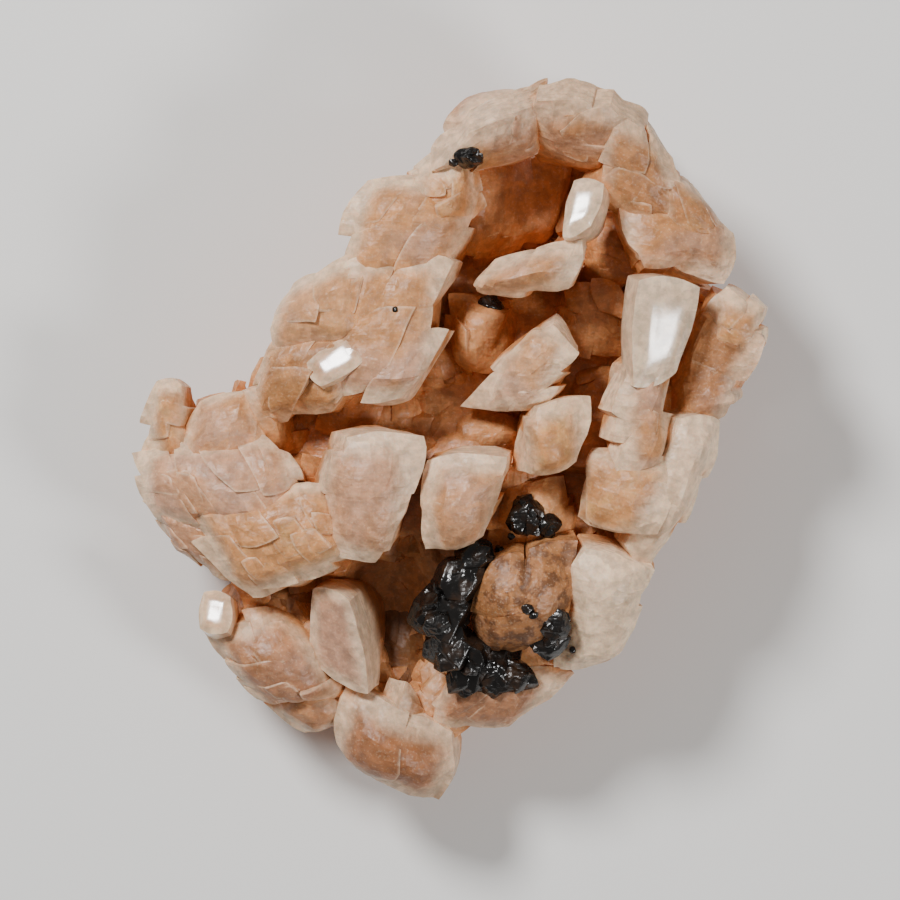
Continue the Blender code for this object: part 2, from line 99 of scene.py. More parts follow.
UNDERSIDE_CUT = (30, 30, 6)  # half sizes in mm of a block under the cluster

# Every crystal is a thick plate between four corners, which needn't lie in one plane. corners: x, y,
# z of each in mm, anticlockwise seen from outside. dome: how far its middle swells. bow: how far its
# edges bulge. Both are in mm. RELIEF stretches all heights away from RELIEF_LEVEL.
Crystal = namedtuple("Crystal", "name corners thickness dome bow")
RELIEF = 1.3
RELIEF_LEVEL = 6.0
EDGE_THINNING = 0.4
ROOT = 2.0  # how far the underside of a listed crystal bulges down into what carries it, in mm
ROOT_DEPTH = 1.0  # how deep into the crust it reaches where the crystal stands well inside the outline
ROOT_MARGIN = 1.3  # it stands well inside if its middle would be inside this much further out too
ROOT_SHARE = 0.7  # the share of a root's length that counts, because it thins to nothing

# The blocks of a crystal, in mm or as a share of their half size
CORNER_CUT = 0.1  # how much their corners are cut off
GRID_CROWDING = 1.5  # over 1, their grid lines crowd towards the edges
BLOCK_SWELL = 0.05  # how far their middle swells, in mm
BLOCK_EDGE_THINNING = 0.06
WAVER = 0.06  # how far noise moves their outlines, and the sizes of its waves, in mm
WAVER_SIZES = (0.9, 0.4)
BLOCK_STAY = 0.82  # the share of a block's half size that stays inside its crystal's outline
BLOCK_SPREAD = (0.95, 1.45)  # a block's size against the spot that it fills
BLOCK_SHIFT = 0.2  # how far it moves off its spot, as a share of the spot
BLOCK_TILT = 0.11  # the usual slope and turn, in radians
BLOCK_TURN = 0.16
BLOCK_TINT = 0.15  # how far a block's tint is from its crystal's
CHIP_SIZE = 0.55
CALM_BLOCK = 1.3  # how much wider the blocks of a smooth crystal are
BLOCK_RANGE = (0.8, 1.3)  # a crystal's block size against the setting
CRYSTAL_SKEW = (0.15, 0.4)  # how far its blocks lean along the crystal, and from bottom to top
CRYSTAL_SLANT = 0.25
BASE_SINK = 0.9  # how far a crystal's base plate lies under its blocks, in block steps
LEVEL = (0, 0, 0, 0)  # a block that isn't lifted, tilted or turned
WARP = 0.34  # how far all crystals are bent together out of their straight outlines, in mm
WARP_SIZE = 2.4
SIDE_STRETCH = 1.3  # how much the grain is stretched up a block's sides
RIM_DROP = 0.75  # how far a crystal bends down at its outline, in mm, and over what width
RIM_WIDTH = 1.2
FACET_BEVEL = 0.28  # how much a clean facet thins at its edges, as a share of half its thickness
FACET_WAVER = 0.05

# How finely crystals are made: the grids of their base plate and of their blocks, the base plate's
# share of the crystal, the size of blocks and number of chips against the usual, and the root in mm,
# which is worked out where it is None
Detail = namedtuple("Detail", "base_grid block_grid inset block chips root")
FINE = Detail((12, 12, 3), (7, 7, 2), 0.86, 1.0, 1.0, None)
PLAIN = Detail((5, 5, 2), (4, 4, 2), 0.94, 0.75, 0.5, 0.6)

CRYSTAL_ROWS = [
    # The arch of plates round the upper hollow
    ("crest_left", (0.4, 14.2, 9.4, 4.6, 15.2, 8, 4.8, 17.5, 10.4, 0.9, 15.7, 10.6), 1.9, -0.2, 0.2),
    ("crest_peak", (1.8, 15.4, 9.6, 4.4, 15.6, 9.4, 3.9, 18, 10.2, 2.6, 17.5, 10), 1.7, 0.1, 0.1),
    ("crest_top", (4.2, 15.2, 7.8, 9, 14.4, 8, 8.9, 16.9, 10.3, 4.9, 17.4, 10.6), 1.9, -0.3, 0.2),
    ("crest_tip", (4.8, 16.4, 9.7, 7, 16, 9.7, 7.4, 17.3, 10, 5.9, 18, 10.1), 1.5, 0.1, 0.1),
    ("crest_right", (7.7, 12.6, 8.7, 11.8, 11.9, 8.9, 10.9, 15.3, 9.4, 8.2, 17, 10), 2.1, -0.2, 0.2),
    ("hollow_floor", (0.6, 10.2, 8.2, 5.6, 11.2, 5.4, 6.4, 15.2, 5.8, 1.4, 14.6, 8), 2, -0.8, 0.2),
    # The broad plates on the left shoulder
    ("shoulder_top", (-5, 8.4, 9.1, -0.2, 8.4, 9, 1.5, 13.6, 8.7, -3.8, 13.6, 9.3), 2.4, 0.3, 0.2),
    ("shoulder_rim", (-1.8, 11.4, 9, 1.5, 11.8, 8.7, 1.6, 15.4, 9.4, -1.2, 14.3, 9.5), 1.9, 0.1, 0.1),
    ("shoulder_main", (-5.6, 3.1, 9.1, -1, 3.2, 9.9, 0, 9.6, 9.6, -5, 9.5, 9.6), 2.6, -0.3, 0.1),
    ("shoulder_outer", (-8.7, 5.2, 8.5, -3.6, 5.8, 9.7, -3.6, 10.1, 9.5, -8, 8.3, 8.8), 2.3, 0.2, 0.2),
    ("shoulder_low", (-9.4, 1.6, 7.7, -4.6, 2.6, 9, -3.8, 6.6, 9.7, -9.1, 6, 8.4), 2.1, 0.2, 0.2),
    ("shoulder_lip", (-9.2, 0.4, 7.5, -7.6, 0.8, 7.4, -7.9, 3.8, 7.9, -9.9, 3.2, 8.2), 1.4, 0.1, 0.1),
    ("shoulder_spark", (-6.1, 3.3, 9.75, -3.7, 4.8, 9.89, -4.5, 6.1, 9.45, -6.9, 4.6, 9.31), 1.6, 0, 0.1),
    # The bar across the upper hollow
    ("bar", (1.2, 8.3, 9.2, 5.6, 8, 9.9, 6.8, 10.8, 10.3, 2, 9.7, 9.3), 2.4, 0.2, 0.1),
    ("bar_tip", (5.9, 10.6, 10.14, 7.4, 11.3, 10.27, 8.1, 13.5, 9.91, 6.5, 13.8, 9.53), 1.8, 0, 0.1),
    # The plates on the right flank
    ("ledge", (8.9, 9.3, 9, 13.6, 9.2, 8.6, 14.3, 11.8, 8.3, 9.2, 13.4, 9), 2.2, -0.2, 0.2),
    ("ledge_back", (10.4, 11.2, 8.6, 14.2, 10.2, 8.1, 13.2, 12.8, 8.4, 10.9, 14.8, 9), 2, 0.1, 0.2),
    ("tall_blade", (9, 3.4, 9.7, 11.2, 4.2, 9.17, 12.6, 8.8, 9.44, 9.2, 9.2, 10.5), 1.9, 0, 0.1),
    ("tall_blade_foot", (8.9, -0.8, 9.3, 10.8, -0.6, 8.5, 11.2, 5, 9, 9, 5.2, 10), 1.7, 0.1, 0.1),
    ("outer_blade", (10.9, 1, 7.5, 13.9, 2.2, 8.2, 15.7, 6.4, 8.9, 12.6, 8.3, 7.8), 2, -0.4, 0.1),
    ("outer_tip", (12.8, 5.6, 8, 15.5, 5.2, 8.6, 15.6, 7.6, 8.7, 13.6, 8.6, 8.5), 1.8, 0, 0.1),
    ("flank_rim", (8.8, -4.4, 8.5, 10.6, -5, 7.7, 13.8, 2, 8.1, 11.6, 2.2, 9), 2, 0.1, 0.2),
    ("flank_inner", (6.2, -3.4, 8.3, 9.4, -4.2, 8.9, 11.4, -0.4, 9.1, 7.6, 0.4, 8.5), 2.2, -0.2, 0.1),
    ("flank_face", (5.8, -10.4, 6.9, 8.7, -10.1, 6.9, 10.2, -4.9, 8.2, 6.4, -4.5, 8.6), 2.4, 0.3, 0.2),
    # The chevron and the blocks in the middle
    ("chevron_upper", (1.5, 2.4, 8.5, 5.1, 2.8, 9.5, 5.9, 5.7, 10.1, 4.3, 6.8, 9.7), 1.9, -0.1, 0.1),
    ("chevron_lower", (3.8, -1, 9.5, 7, -0.6, 9.3, 6.6, 2.8, 9.6, 3.7, 2.4, 10), 2, 0.2, 0.1),
    ("middle_block", (-0.5, -4.9, 8.7, 2, -4.3, 8.9, 3.4, -0.3, 9.4, -0.8, -0.1, 9.5), 2.6, 0.2, 0.1),
    ("golden_knob", (1.9, -9.3, 7.4, 5.7, -9.5, 7.3, 6.2, -4.5, 8.5, 1.9, -5.3, 8.5), 2.8, 0.5, 0.2),
    ("left_knob", (-5.6, -4.5, 8.7, -2.4, -4.9, 8.9, -2, 0.9, 9.7, -6.1, 1.1, 9.3), 2.8, 0.4, 0.2),
    # The low lobe on the left
    ("lobe_upper", (-13.4, -0.8, 7.3, -8.4, -0.2, 7.9, -9.4, 3.9, 7.6, -12.4, 3.2, 7.1), 2.1, 0.2, 0.1),
    ("lobe_tab", (-14.9, -0.4, 6.8, -12.6, -0.2, 7.2, -12.9, 3.6, 7, -14.6, 4, 6.7), 1.9, 0.2, 0.2),
    ("lobe_middle", (-14.6, -3.2, 7.1, -7, -3.4, 8.5, -8.2, 1, 8.2, -15.3, 0.2, 7), 2.3, 0.3, 0.2),
    ("lobe_lower", (-10.3, -7, 7.6, -4.4, -5.2, 8.8, -5, -1.4, 9.1, -13, -1.8, 7.6), 2.4, 0.3, 0),
    ("lobe_edge", (-13.2, -4.7, 6.6, -10.6, -6.2, 7, -10.6, -2.6, 7.5, -15.1, -2, 6.8), 1.9, 0.2, 0.1),
    # The foot of the cluster
    ("foot_ridge", (-12, -8.8, 6.2, -9, -12.4, 5.5, -5, -12, 6, -8, -7.4, 6.7), 2.6, 0.4, 0.2),
    ("ridge_end", (-12.3, -8.8, 6.59, -10.8, -9, 6.93, -10.6, -7, 6.51, -12.1, -6.8, 6.17), 1.5, 0, 0.1),
    ("ridge_foot", (-8.8, -12.5, 5.1, -6.2, -14.4, 4.9, -4.4, -12.6, 5.7, -6.8, -10.8, 5.9), 2.1, 0.2, 0.1),
    ("pale_blade", (-6.5, -10.2, 6.3, -3.5, -12, 6.5, -4.5, -6.7, 7.9, -6.5, -6.2, 7), 1.7, -0.1, 0.1),
    ("foot_lobe", (-5.4, -15, 5.3, -0.9, -17.5, 5.1, 1, -14.1, 5.9, -4.6, -12, 6.3), 3, 0.6, 0.3),
    ("foot_plate", (-0.7, -13.3, 6, 3.3, -13.9, 5.9, 5.7, -10.9, 6.4, 0.2, -10.4, 6.6), 2.2, 0.1, 0.1),
    # Small crystals down in the hollows
    ("hollow_a", (-0.2, 4.8, 6.9, 2.3, 4.2, 7.5, 3.4, 7.6, 8.1, 0.5, 8.2, 7.6), 1.7, 0.1, 0),
    ("hollow_b", (0, -0.4, 6.9, 3.8, 0, 7.2, 3.6, 2.2, 7.5, 0.2, 2.4, 6.8), 1.8, 0, 0.1),
    ("hollow_c", (5.4, 6, 7.6, 8.6, 5.2, 7.2, 8.9, 8.6, 7.5, 6.3, 9.4, 7), 1.8, -0.2, 0.1),
    ("hollow_d", (6.3, -0.3, 7.8, 9.1, -0.2, 7.4, 8.9, 5.2, 6, 6, 4.4, 6.2), 1.8, -0.3, 0.1),
    ("hollow_j", (2.3, -4.9, 7.1, 6.3, -4.6, 7.3, 6.2, -1.2, 7.7, 2.6, -1.5, 7.5), 1.8, 0.1, 0.1),
    ("hollow_e", (-6.2, 1.2, 6.9, -0.8, 0.6, 6.2, -0.6, 3.2, 6.4, -5.8, 3.6, 7.4), 1.8, -0.2, 0.1),
    ("hollow_f", (-8.8, -2.6, 6.8, -5.8, -2.4, 7.8, -6, 0, 7.4, -8.4, 1, 6.4), 1.6, 0, 0),
    ("hollow_g", (-4.8, -11.6, 4.2, -0.6, -12.8, 4.6, -1.2, -5.6, 4.2, -4.6, -5.4, 3.6), 2, -0.5, 0.1),
    ("hollow_h", (-10.4, -8, 5.6, -6.6, -9.4, 5.8, -6.4, -5.8, 5.6, -9.2, -6, 5.2), 1.8, 0, 0.1),
    ("hollow_i", (6.6, 9, 6.6, 8.8, 8.8, 7, 9.2, 11.6, 7.2, 7.2, 12.6, 6.4), 1.6, -0.1, 0.1),
]
MAIN_CRYSTALS = [
    Crystal(name, list(zip(places[0::3], places[1::3], places[2::3])), *sizes)
    for name, places, *sizes in CRYSTAL_ROWS
]

# Puts the middle of the solids' box on the Z axis, in mm
CENTRING = (-0.23, -0.426)

# Rules for the small crystals: their sizes are in mm and their angles in degrees
SEED = 7
SKIRT_ROWS = [  # height, how many crystals, size range, how far out of the crust's side
    (1.4, 16, (3.0, 4.2), -2.0),
    (3.4, 17, (3.4, 5.4), -1.3),
    (5.2, 16, (3.6, 5.0), -1.3),
]
SKIRT_PLACE = (0.2, 0.8)  # where a crystal stands in its share of a row
SKIRT_SCATTER = 0.3
SKIRT_LEAN = (10, 88)
SKIRT_TURN = 64
SKIRT_RISE = 0.8
FILL_REACH = 18
FILL_STEP = 4.4
FILL_SCATTER = 0.3  # as a share of the step
FILL_SIZE = (2.8, 4.0)
FILL_LEAN = 40
FILL_SINK = 0.4
SMALL_THICKNESS = 0.42
SMALL_WIDTH = 0.8
SMALL_SKEW = 0.2
SMALL_TWIST = 0.1
DRUSE_REACH = (15, 17)
DRUSE_STEP = 1.5
DRUSE_SCATTER = 0.6
DRUSE_LEAN = (-60, 60)
DRUSE_SIDE_HEIGHTS = (0.7, 5.0)
DRUSE_SIDE_STEP = 0.028  # as a share of the way round the crust, and how far it can be off
DRUSE_SIDE_SCATTER = 0.02
DRUSE_SIDE_LEAN = (20, 160)
DRUSE_SIZE = (0.9, 1.9)
DRUSE_SHAPE = (0.15, 0.2, 0.0, 0.0)  # skew, slant, root and waver

# How open each place is: the height map's half width and cells, and the distances at which the horizon
# is looked up, all in mm, how many directions, what a covered place loses and what an open side gains
MAP_REACH = 26.0
MAP_CELL = 0.2
HORIZON_STEPS = (0.4, 0.7, 1.0, 1.4, 1.9, 2.5, 3.2, 4.0, 5.0)
HORIZON_SLACK = 0.1
BEARINGS = 24
COVERED_LOSS = 0.45
COVERED_BY = (0.4, 1.5)  # how much higher than a place the map has to be for it to count as covered
SIDE_SHARE = 0.35
OPEN_FROM = (0.3, 0.5)  # the openness over which a side gains

# Edges sharper than this many degrees stay crisp
CRYSTAL_EDGE = 32
SPHALERITE_EDGE = 25

# Sphalerite: each grain is one lump or several grown together. Each lump is x, y, z and width in mm.
# Where z is None the lump sits on the dolomite.
SPHALERITE_GRAINS = {
    "sphalerite_grain_large": [
        (1.5, -4.9, 8.3, 2.0), (0.6, -6.1, 8.2, 2.5), (-0.2, -7.7, 7.8, 3.2), (0.2, -9.4, 7.5, 3.0),
        (1.2, -10.3, 7.2, 2.8), (2.3, -10.8, 7.1, 2.5), (3.4, -10.9, 7.1, 2.0),
    ],
    "sphalerite_grain_middle": [(4.1, -2.9, None, 2.1), (5.0, -3.3, None, 1.4)],
    "sphalerite_grain_flank": [(5.4, -8.2, None, 1.8), (5.2, -9.1, None, 1.7)],
    "sphalerite_grain_crest": [(1.2, 15.0, None, 1.4)],
    "sphalerite_grain_bar": [(2.2, 7.7, None, 1.2)],
}
GRAIN_SINK = 0.3
ABOVE = 40  # a height over everything, in mm
FEWEST_SQUARES = 5  # along a side of a lump's grid
SQUARES_PER_WIDTH = 1.5  # along such a side, for each grid spacing that the lump's width holds
LUMP_STRETCH = (0.85, 1.1)
LUMP_FACETS = 20
OPPOSITE_FACETS = 12  # how many of them have a parallel one on the other side
FACET_DISTANCE = (0.86, 1.08)
FACET_ROUNDING = 60  # the lower, the softer the edges between facets
KNOBS = 9  # smaller lumps on each lump, their size and their place, as shares of its width
KNOB_SIZE = (0.25, 0.5)
KNOB_PLACE = 0.31
SPECKS = [  # x, y and width in mm of the tiny sphalerite crystals
    (4.1, -7.5, 0.6), (4.4, -7.8, 0.4), (6.4, -9.6, 0.4), (2.7, -4.6, 0.5), (3.3, -3.9, 0.4),
    (0.4, 14.7, 0.5), (-2.5, 7.4, 0.3),
]

# Crystals that are smoother than the others: share of the usual steps and tilts
CALM_CRYSTALS = {
    "hollow_floor": 0.25, "shoulder_main": 0.5, "shoulder_outer": 0.5, "shoulder_top": 0.6,
    "flank_face": 0.4, "left_knob": 0.5, "golden_knob": 0.9, "bar": 0.4, "chevron_upper": 0.4,
    "chevron_lower": 0.4, "middle_block": 0.5, "hollow_g": 0.5, "outer_blade": 0.4, "pale_blade": 0.3,
    "foot_lobe": 0.6, "tall_blade_foot": 0.4, "flank_inner": 0.45, "flank_rim": 0.5, "crest_left": 0.6,
    "crest_top": 0.6, "ledge": 0.6, "foot_plate": 0.6, "lobe_upper": 0.7,
}

# How pale (1) or dark (-1, and -2 in the deepest hollow), how golden and how lilac some crystals are.
# Paleness and darkness are partly each crystal's own tone and partly painted light and shade: pale on
# strongly lit crystals and glint facets, dark on shaded ones, and darkest in the deepest hollow.
CRYSTAL_SHADES = {
    "flank_rim": (0.8, 0, 0), "flank_face": (1, 0.1, 0), "tall_blade": (1, 0, 0),
    "bar_tip": (0.8, 0, 0), "shoulder_outer": (0.2, 0, 0), "shoulder_low": (-0.2, 0.3, 0),
    "shoulder_lip": (-0.3, 0.3, 0), "crest_right": (-0.5, 0.2, 0), "crest_top": (-0.4, 0.2, 0),
    "crest_left": (-0.2, 0.2, 0), "ledge": (-0.25, 0.2, 0), "ledge_back": (-0.4, 0.2, 0),
    "outer_blade": (-0.6, 0.3, 0), "golden_knob": (-0.5, 1, 0), "chevron_upper": (0.3, 0, 0),
    "left_knob": (0, 0, 0.4), "lobe_edge": (-0.3, 0, 0.4), "lobe_middle": (0, 0, 0.4),
    "foot_ridge": (-0.6, 0, 0.3), "ridge_foot": (-0.5, 0, 0.3), "pale_blade": (-0.3, 0, 1),
    "foot_lobe": (-0.9, 0.1, 0.2), "foot_plate": (-0.6, 0, 0.6), "hollow_g": (-2, 0.4, 0),
    "hollow_h": (-1.6, 0.2, 0),
}
PLAIN_SHADE = (0.0, 0.0, 0.0)
CRUST_SHADE = (-0.5, 0.2, 0.1)

# Crystals that are one clean facet, and how much it shines
GLOSSY_CRYSTALS = {
    "bar_tip": 0.9, "tall_blade": 0.75, "ridge_end": 0.9, "shoulder_spark": 1.0, "pale_blade": 0.5,
}

# Sizes of the spots of noise in the materials, in m
WIDE_SPOTS = 0.0034
PATCH_SPOTS = 0.0011
STAIN_SPOTS = 0.0007
BROWN_SPOTS = 0.0009
DIM_SPOTS = 0.0006
SPECK_SPOTS = 0.00013
WANDER_SPOTS = 0.003
GRAIN_SPOTS = 0.00022
WAVE_SPOTS = 0.0007
TILES_PER_MM = 1.7
LINE_SIZE = 0.2  # distance between growth lines, in mm

# Stage: the floor's half width in mm, the height in m at which the view width is measured, and the
# soft light from all round
FLOOR_REACH = 600
MIDDLE_HEIGHT = 0.006
WORLD_COLOUR = (1.0, 0.98, 0.95, 1.0)
WORLD_LIGHT = 0.18


def colour_setting(name, description, default):
    return FloatVectorProperty(
        name=name, description=description, default=default, min=0.0, max=1.0, subtype="COLOR",
    )


def length_setting(name, description, default, least):
    return FloatProperty(
        name=name, description=description, default=default, min=least, subtype="DISTANCE", unit="LENGTH",
    )


class DolomiteSettings(bpy.types.PropertyGroup):
    block: length_setting(
        "Block size", "Average side of the blocks that a crystal is made of", 1.9 * MM, 0.3 * MM,
    )
    step: length_setting("Block step", "How far a block stands out of its neighbours", 0.14 * MM, 0.0)
    # Pale edge colour: partly frost on the edges, partly painted highlight on rims and on lit crystals
    pearl_and_highlight: colour_setting("Edge colour", "Pale colour of the crystals' edges", (0.88, 0.64, 0.43))
    face: colour_setting("Face colour", "Colour of the open faces", (0.61, 0.27, 0.1))
    lilac: colour_setting("Lilac colour", "Colour of the cooler patches on the faces", (0.58, 0.33, 0.22))
    cream: colour_setting("Cream colour", "Colour of the yellower patches on the faces", (0.70, 0.38, 0.14))
    # The recess and pit colours are partly iron staining and partly painted shade: they are laid where a
    # place sees little sky
    recess_stain_and_shade: colour_setting("Recess colour", "Orange colour between the crystals", (0.62, 0.27, 0.10))
    pit_stain_and_shade: colour_setting("Pit colour", "Brown colour in the deepest hollows", (0.62, 0.23, 0.07))
    # Tan colour: partly the darker crystals' own tone, partly painted shade on crystals in shadow
    tan: colour_setting(
        "Tan colour", "Colour of the darker crystals round the cluster's rim", (0.36, 0.14, 0.055),
    )
    gold: colour_setting(
        "Gold colour", "Colour of the stained crystals by the sphalerite", (0.40, 0.17, 0.045),
    )
    stain: colour_setting(
        "Stain colour", "Colour of the brown spots on the golden crystals", (0.09, 0.03, 0.01),
    )
    seed: IntProperty(name="Seed", description="Changes how the crystals break into blocks", default=11)


class SphaleriteSettings(bpy.types.PropertyGroup):
    colour: colour_setting("Colour", "Colour of the sphalerite", (0.006, 0.005, 0.0045))
    patch: colour_setting(
        "Patch colour", "Brown colour of some patches on the sphalerite", (0.03, 0.013, 0.005),
    )
    spacing: length_setting(
        "Grid spacing", "Upper limit for the distance between a grain's points", 0.09 * MM, 0.04 * MM,
    )


class StageSettings(bpy.types.PropertyGroup):
    distance: length_setting("Camera height", "Height of the camera over the floor", 0.3, 0.1)
    view_width: length_setting(
        "View width", "Width that the camera sees at half the cluster's height", 0.0455, 0.01,
    )
    key: FloatProperty(
        name="Main light", description="Power of the light at the upper left, in watts",
        default=0.86, min=0.0,
    )
    fill: FloatProperty(
        name="Second light", description="Power of the light at the lower right, in watts",
        default=0.3, min=0.0,
    )
    floor: colour_setting("Floor colour", "Colour of the floor", (0.86, 0.85, 0.83))


def value_noise(points, size, seed):
    """Random values on a cubic lattice of this spacing, blended smoothly between its points: -1 to 1.

    Each value is a hash of the lattice point and the seed, so it is the same in every run.
    """
    place = points / size
    cell = np.floor(place).astype(np.int64)
    part = place - cell
    part = part * part * (3 - 2 * part)
    total = np.zeros(len(points))
    for offset in product((0, 1), repeat=3):
        at = cell + np.array(offset)
        mixed = (at[:, 0] * 73856093) ^ (at[:, 1] * 19349663) ^ (at[:, 2] * 83492791)
        mixed = mixed ^ (seed * 26544357)
        mixed = ((mixed ^ (mixed >> 13)) * 1274126177) & 0xFFFFFFFF
        value = ((mixed ^ (mixed >> 16)) & 0xFFFF) / 32767.5 - 1
        total += value * np.where(offset, part, 1 - part).prod(axis=1)
    return total


def noise_vector(points, size, seed):
    """Three values of noise for each point."""
    return np.stack([value_noise(points, size, seed + axis) for axis in range(3)], -1)


def smooth_step(low, high, values):
    """0 below low, 1 above high, and an S-shaped rise between them."""
    share = np.clip((values - low) / (high - low), 0, 1)
    return share * share * (3 - 2 * share)


def box_lattice(counts):
    """Points from -1 to 1 on the six sides of a cube, each side a grid, with shared edges, and its quads."""
    quads = []
    for axis in range(3):
        u, v = (axis + 1) % 3, (axis + 2) % 3
        iu, iv = np.meshgrid(np.arange(counts[u]), np.arange(counts[v]), indexing="ij")
        for end in (0, counts[axis]):
            quad = np.full(iu.shape + (4, 3), end)
            for place, (du, dv) in enumerate(((0, 0), (1, 0), (1, 1), (0, 1))):
                quad[..., place, u] = iu + du
                quad[..., place, v] = iv + dv
            quads.append((quad if end else quad[..., ::-1, :]).reshape(-1, 4, 3))
    quads = np.concatenate(quads)
    sides = np.array(counts) + 1
    keys = (quads[..., 0] * sides[1] + quads[..., 1]) * sides[2] + quads[..., 2]
    keys, faces = np.unique(keys, return_inverse=True)
    index = np.stack((keys // (sides[1] * sides[2]), keys // sides[2] % sides[1], keys % sides[2]), -1)
    return index / np.array(counts) * 2 - 1, faces.reshape(-1, 4)


def new_mesh(name, points, faces, corner_values=None):
    """A mesh from points in mm. corner_values holds one 3-number value per point for each attribute name."""
    mesh = bpy.data.meshes.new(name)
    mesh.from_pydata(points * MM, [], faces)
    for key, values in (corner_values or {}).items():
        attribute = mesh.attributes.new(key, "FLOAT_VECTOR", "CORNER")
        attribute.data.foreach_set("vector", values[faces.ravel()].astype(np.float32).ravel())
    return mesh


def stretched(z):
    """A listed height with the relief applied."""
    return RELIEF_LEVEL + (z - RELIEF_LEVEL) * RELIEF


def unstretched(z):
    """The listed height that the relief takes to z."""
    return RELIEF_LEVEL + (z - RELIEF_LEVEL) / RELIEF


def plate_frame(crystal):
    """The corners in mm with the relief applied, the plate's length and width, and its three directions."""
    corners = np.array(crystal.corners, float)
    corners[:, 2] = stretched(corners[:, 2])
    first, second, third, fourth = corners
    length = (np.linalg.norm(second - first) + np.linalg.norm(third - fourth)) / 2
    width = (np.linalg.norm(fourth - first) + np.linalg.norm(third - second)) / 2
    directions = [second - first + third - fourth, fourth - first + third - second]
    directions.append(np.cross(third - first, fourth - second))
    return corners, length, width, [way / np.linalg.norm(way) for way in directions]


def root_length(crystal):
    """How far the crystal's underside has to bulge down: a crystal high over the crust has a long root."""
    x, y, z = np.mean(crystal.corners, axis=0)
    if not inside_outline(ROOT_MARGIN * x, ROOT_MARGIN * y, CRUST_OUTLINE):
        return ROOT
    gap = stretched(z) - crystal.thickness / 2 - crust_top(x, y)
    return max(ROOT, (gap + ROOT_DEPTH) / ROOT_SHARE)


def block_surface(crystal, frame, centre, half, lie, shape, counts, tint, gloss=0.0):
    """A closed block of a plate.

    s, t and c run from -1 to 1 along, across and through the block. u and v are its mm along and
    across the plate, skewed and turned, and a and b are the same from -1 to 1 over the whole plate.
    The plate's middle surface blends its corners in a and b, with edges bulging by bow * (1 - b^2) and
    the middle swelling by dome * (1 - a^2) * (1 - b^2). The block stands lift above it, tilted, and
    its top and bottom are half a thickness off it, less near its rim. Below, it bulges down by root.
    The plate bends down near its outline, noise warps it, and finer noise makes the block waver.
    A block with gloss is a clean facet, which has a bevel and neither swells, bends nor warps.
    """
    (first, second, third, fourth), length, width, (along, across, normal) = frame
    lift, tilt_u, tilt_v, turn = lie
    skew, slant, root, waver = shape
    unit, faces = box_lattice(counts)
    s, t, c = (np.sign(x) * (1 - (1 - np.abs(x)) ** GRID_CROWDING) for x in unit.T)
    half_height = crystal.thickness / 2
    u = half[0] * s * (1 - CORNER_CUT * t * t) + skew * half[1] * t + slant * half_height * c
    v = half[1] * t * (1 - CORNER_CUT * s * s)
    u, v = u * math.cos(turn) - v * math.sin(turn), u * math.sin(turn) + v * math.cos(turn)
    a, b = centre[0] + u / (length / 2), centre[1] + v / (width / 2)

    share = (a[:, None] + 1) / 2
    near = first + (second - first) * share
    far = fourth + (third - fourth) * share
    points = near + (far - near) * ((b[:, None] + 1) / 2)
    inside_a, inside_b = np.clip(1 - a * a, 0, 1), np.clip(1 - b * b, 0, 1)
    points += along * (crystal.bow * a * inside_b)[:, None]
    points += across * (crystal.bow * b * inside_a)[:, None]
    rim = np.maximum(np.abs(s), np.abs(t))
    outer = np.minimum(length / 2 * (1 - np.abs(a)), width / 2 * (1 - np.abs(b)))
    if gloss > 0:
        thin = 1 - FACET_BEVEL * smooth_step(0.5, 1.05, rim)
    else:
        thin = 1 - EDGE_THINNING * (2 - inside_a - inside_b) / 2
        thin = thin - BLOCK_EDGE_THINNING * smooth_step(0.8, 1.0, rim)
    height = c * half_height * thin + crystal.dome * inside_a * inside_b
    height += lift + tilt_u * u + tilt_v * v - root * (c < -0.5) * inside_a * inside_b
    if gloss == 0:
        height += BLOCK_SWELL * c * (1 - s * s) * (1 - t * t)
        height -= RIM_DROP * (1 - smooth_step(-0.2, RIM_WIDTH, outer))
    points += normal * height[:, None]
    if gloss == 0:
        points += WARP * noise_vector(points, WARP_SIZE, 20)
    wide, narrow = WAVER_SIZES
    points += waver * (noise_vector(points, wide, 0) + 0.5 * noise_vector(points, narrow, 3))

    on_side = np.abs(c) < 0.999
    edge = np.minimum(half[0] * (1 - np.abs(s)), half[1] * (1 - np.abs(t)))
    grain_v = np.where(on_side, SIDE_STRETCH * height, centre[1] * width / 2 + v)
    grain = np.stack((centre[0] + u, grain_v, np.full_like(u, tint)), -1)
    form = np.stack((edge, np.full_like(u, gloss), np.clip(outer, 0, 3)), -1)
    usual = CRUST_SHADE if crystal.name.startswith(("skirt", "fill", "druse")) else PLAIN_SHADE
    shade = np.tile(CRYSTAL_SHADES.get(crystal.name, usual), (len(u), 1))
    return new_mesh(crystal.name, points, faces, {"grain": grain, "form": form, "shade": shade})


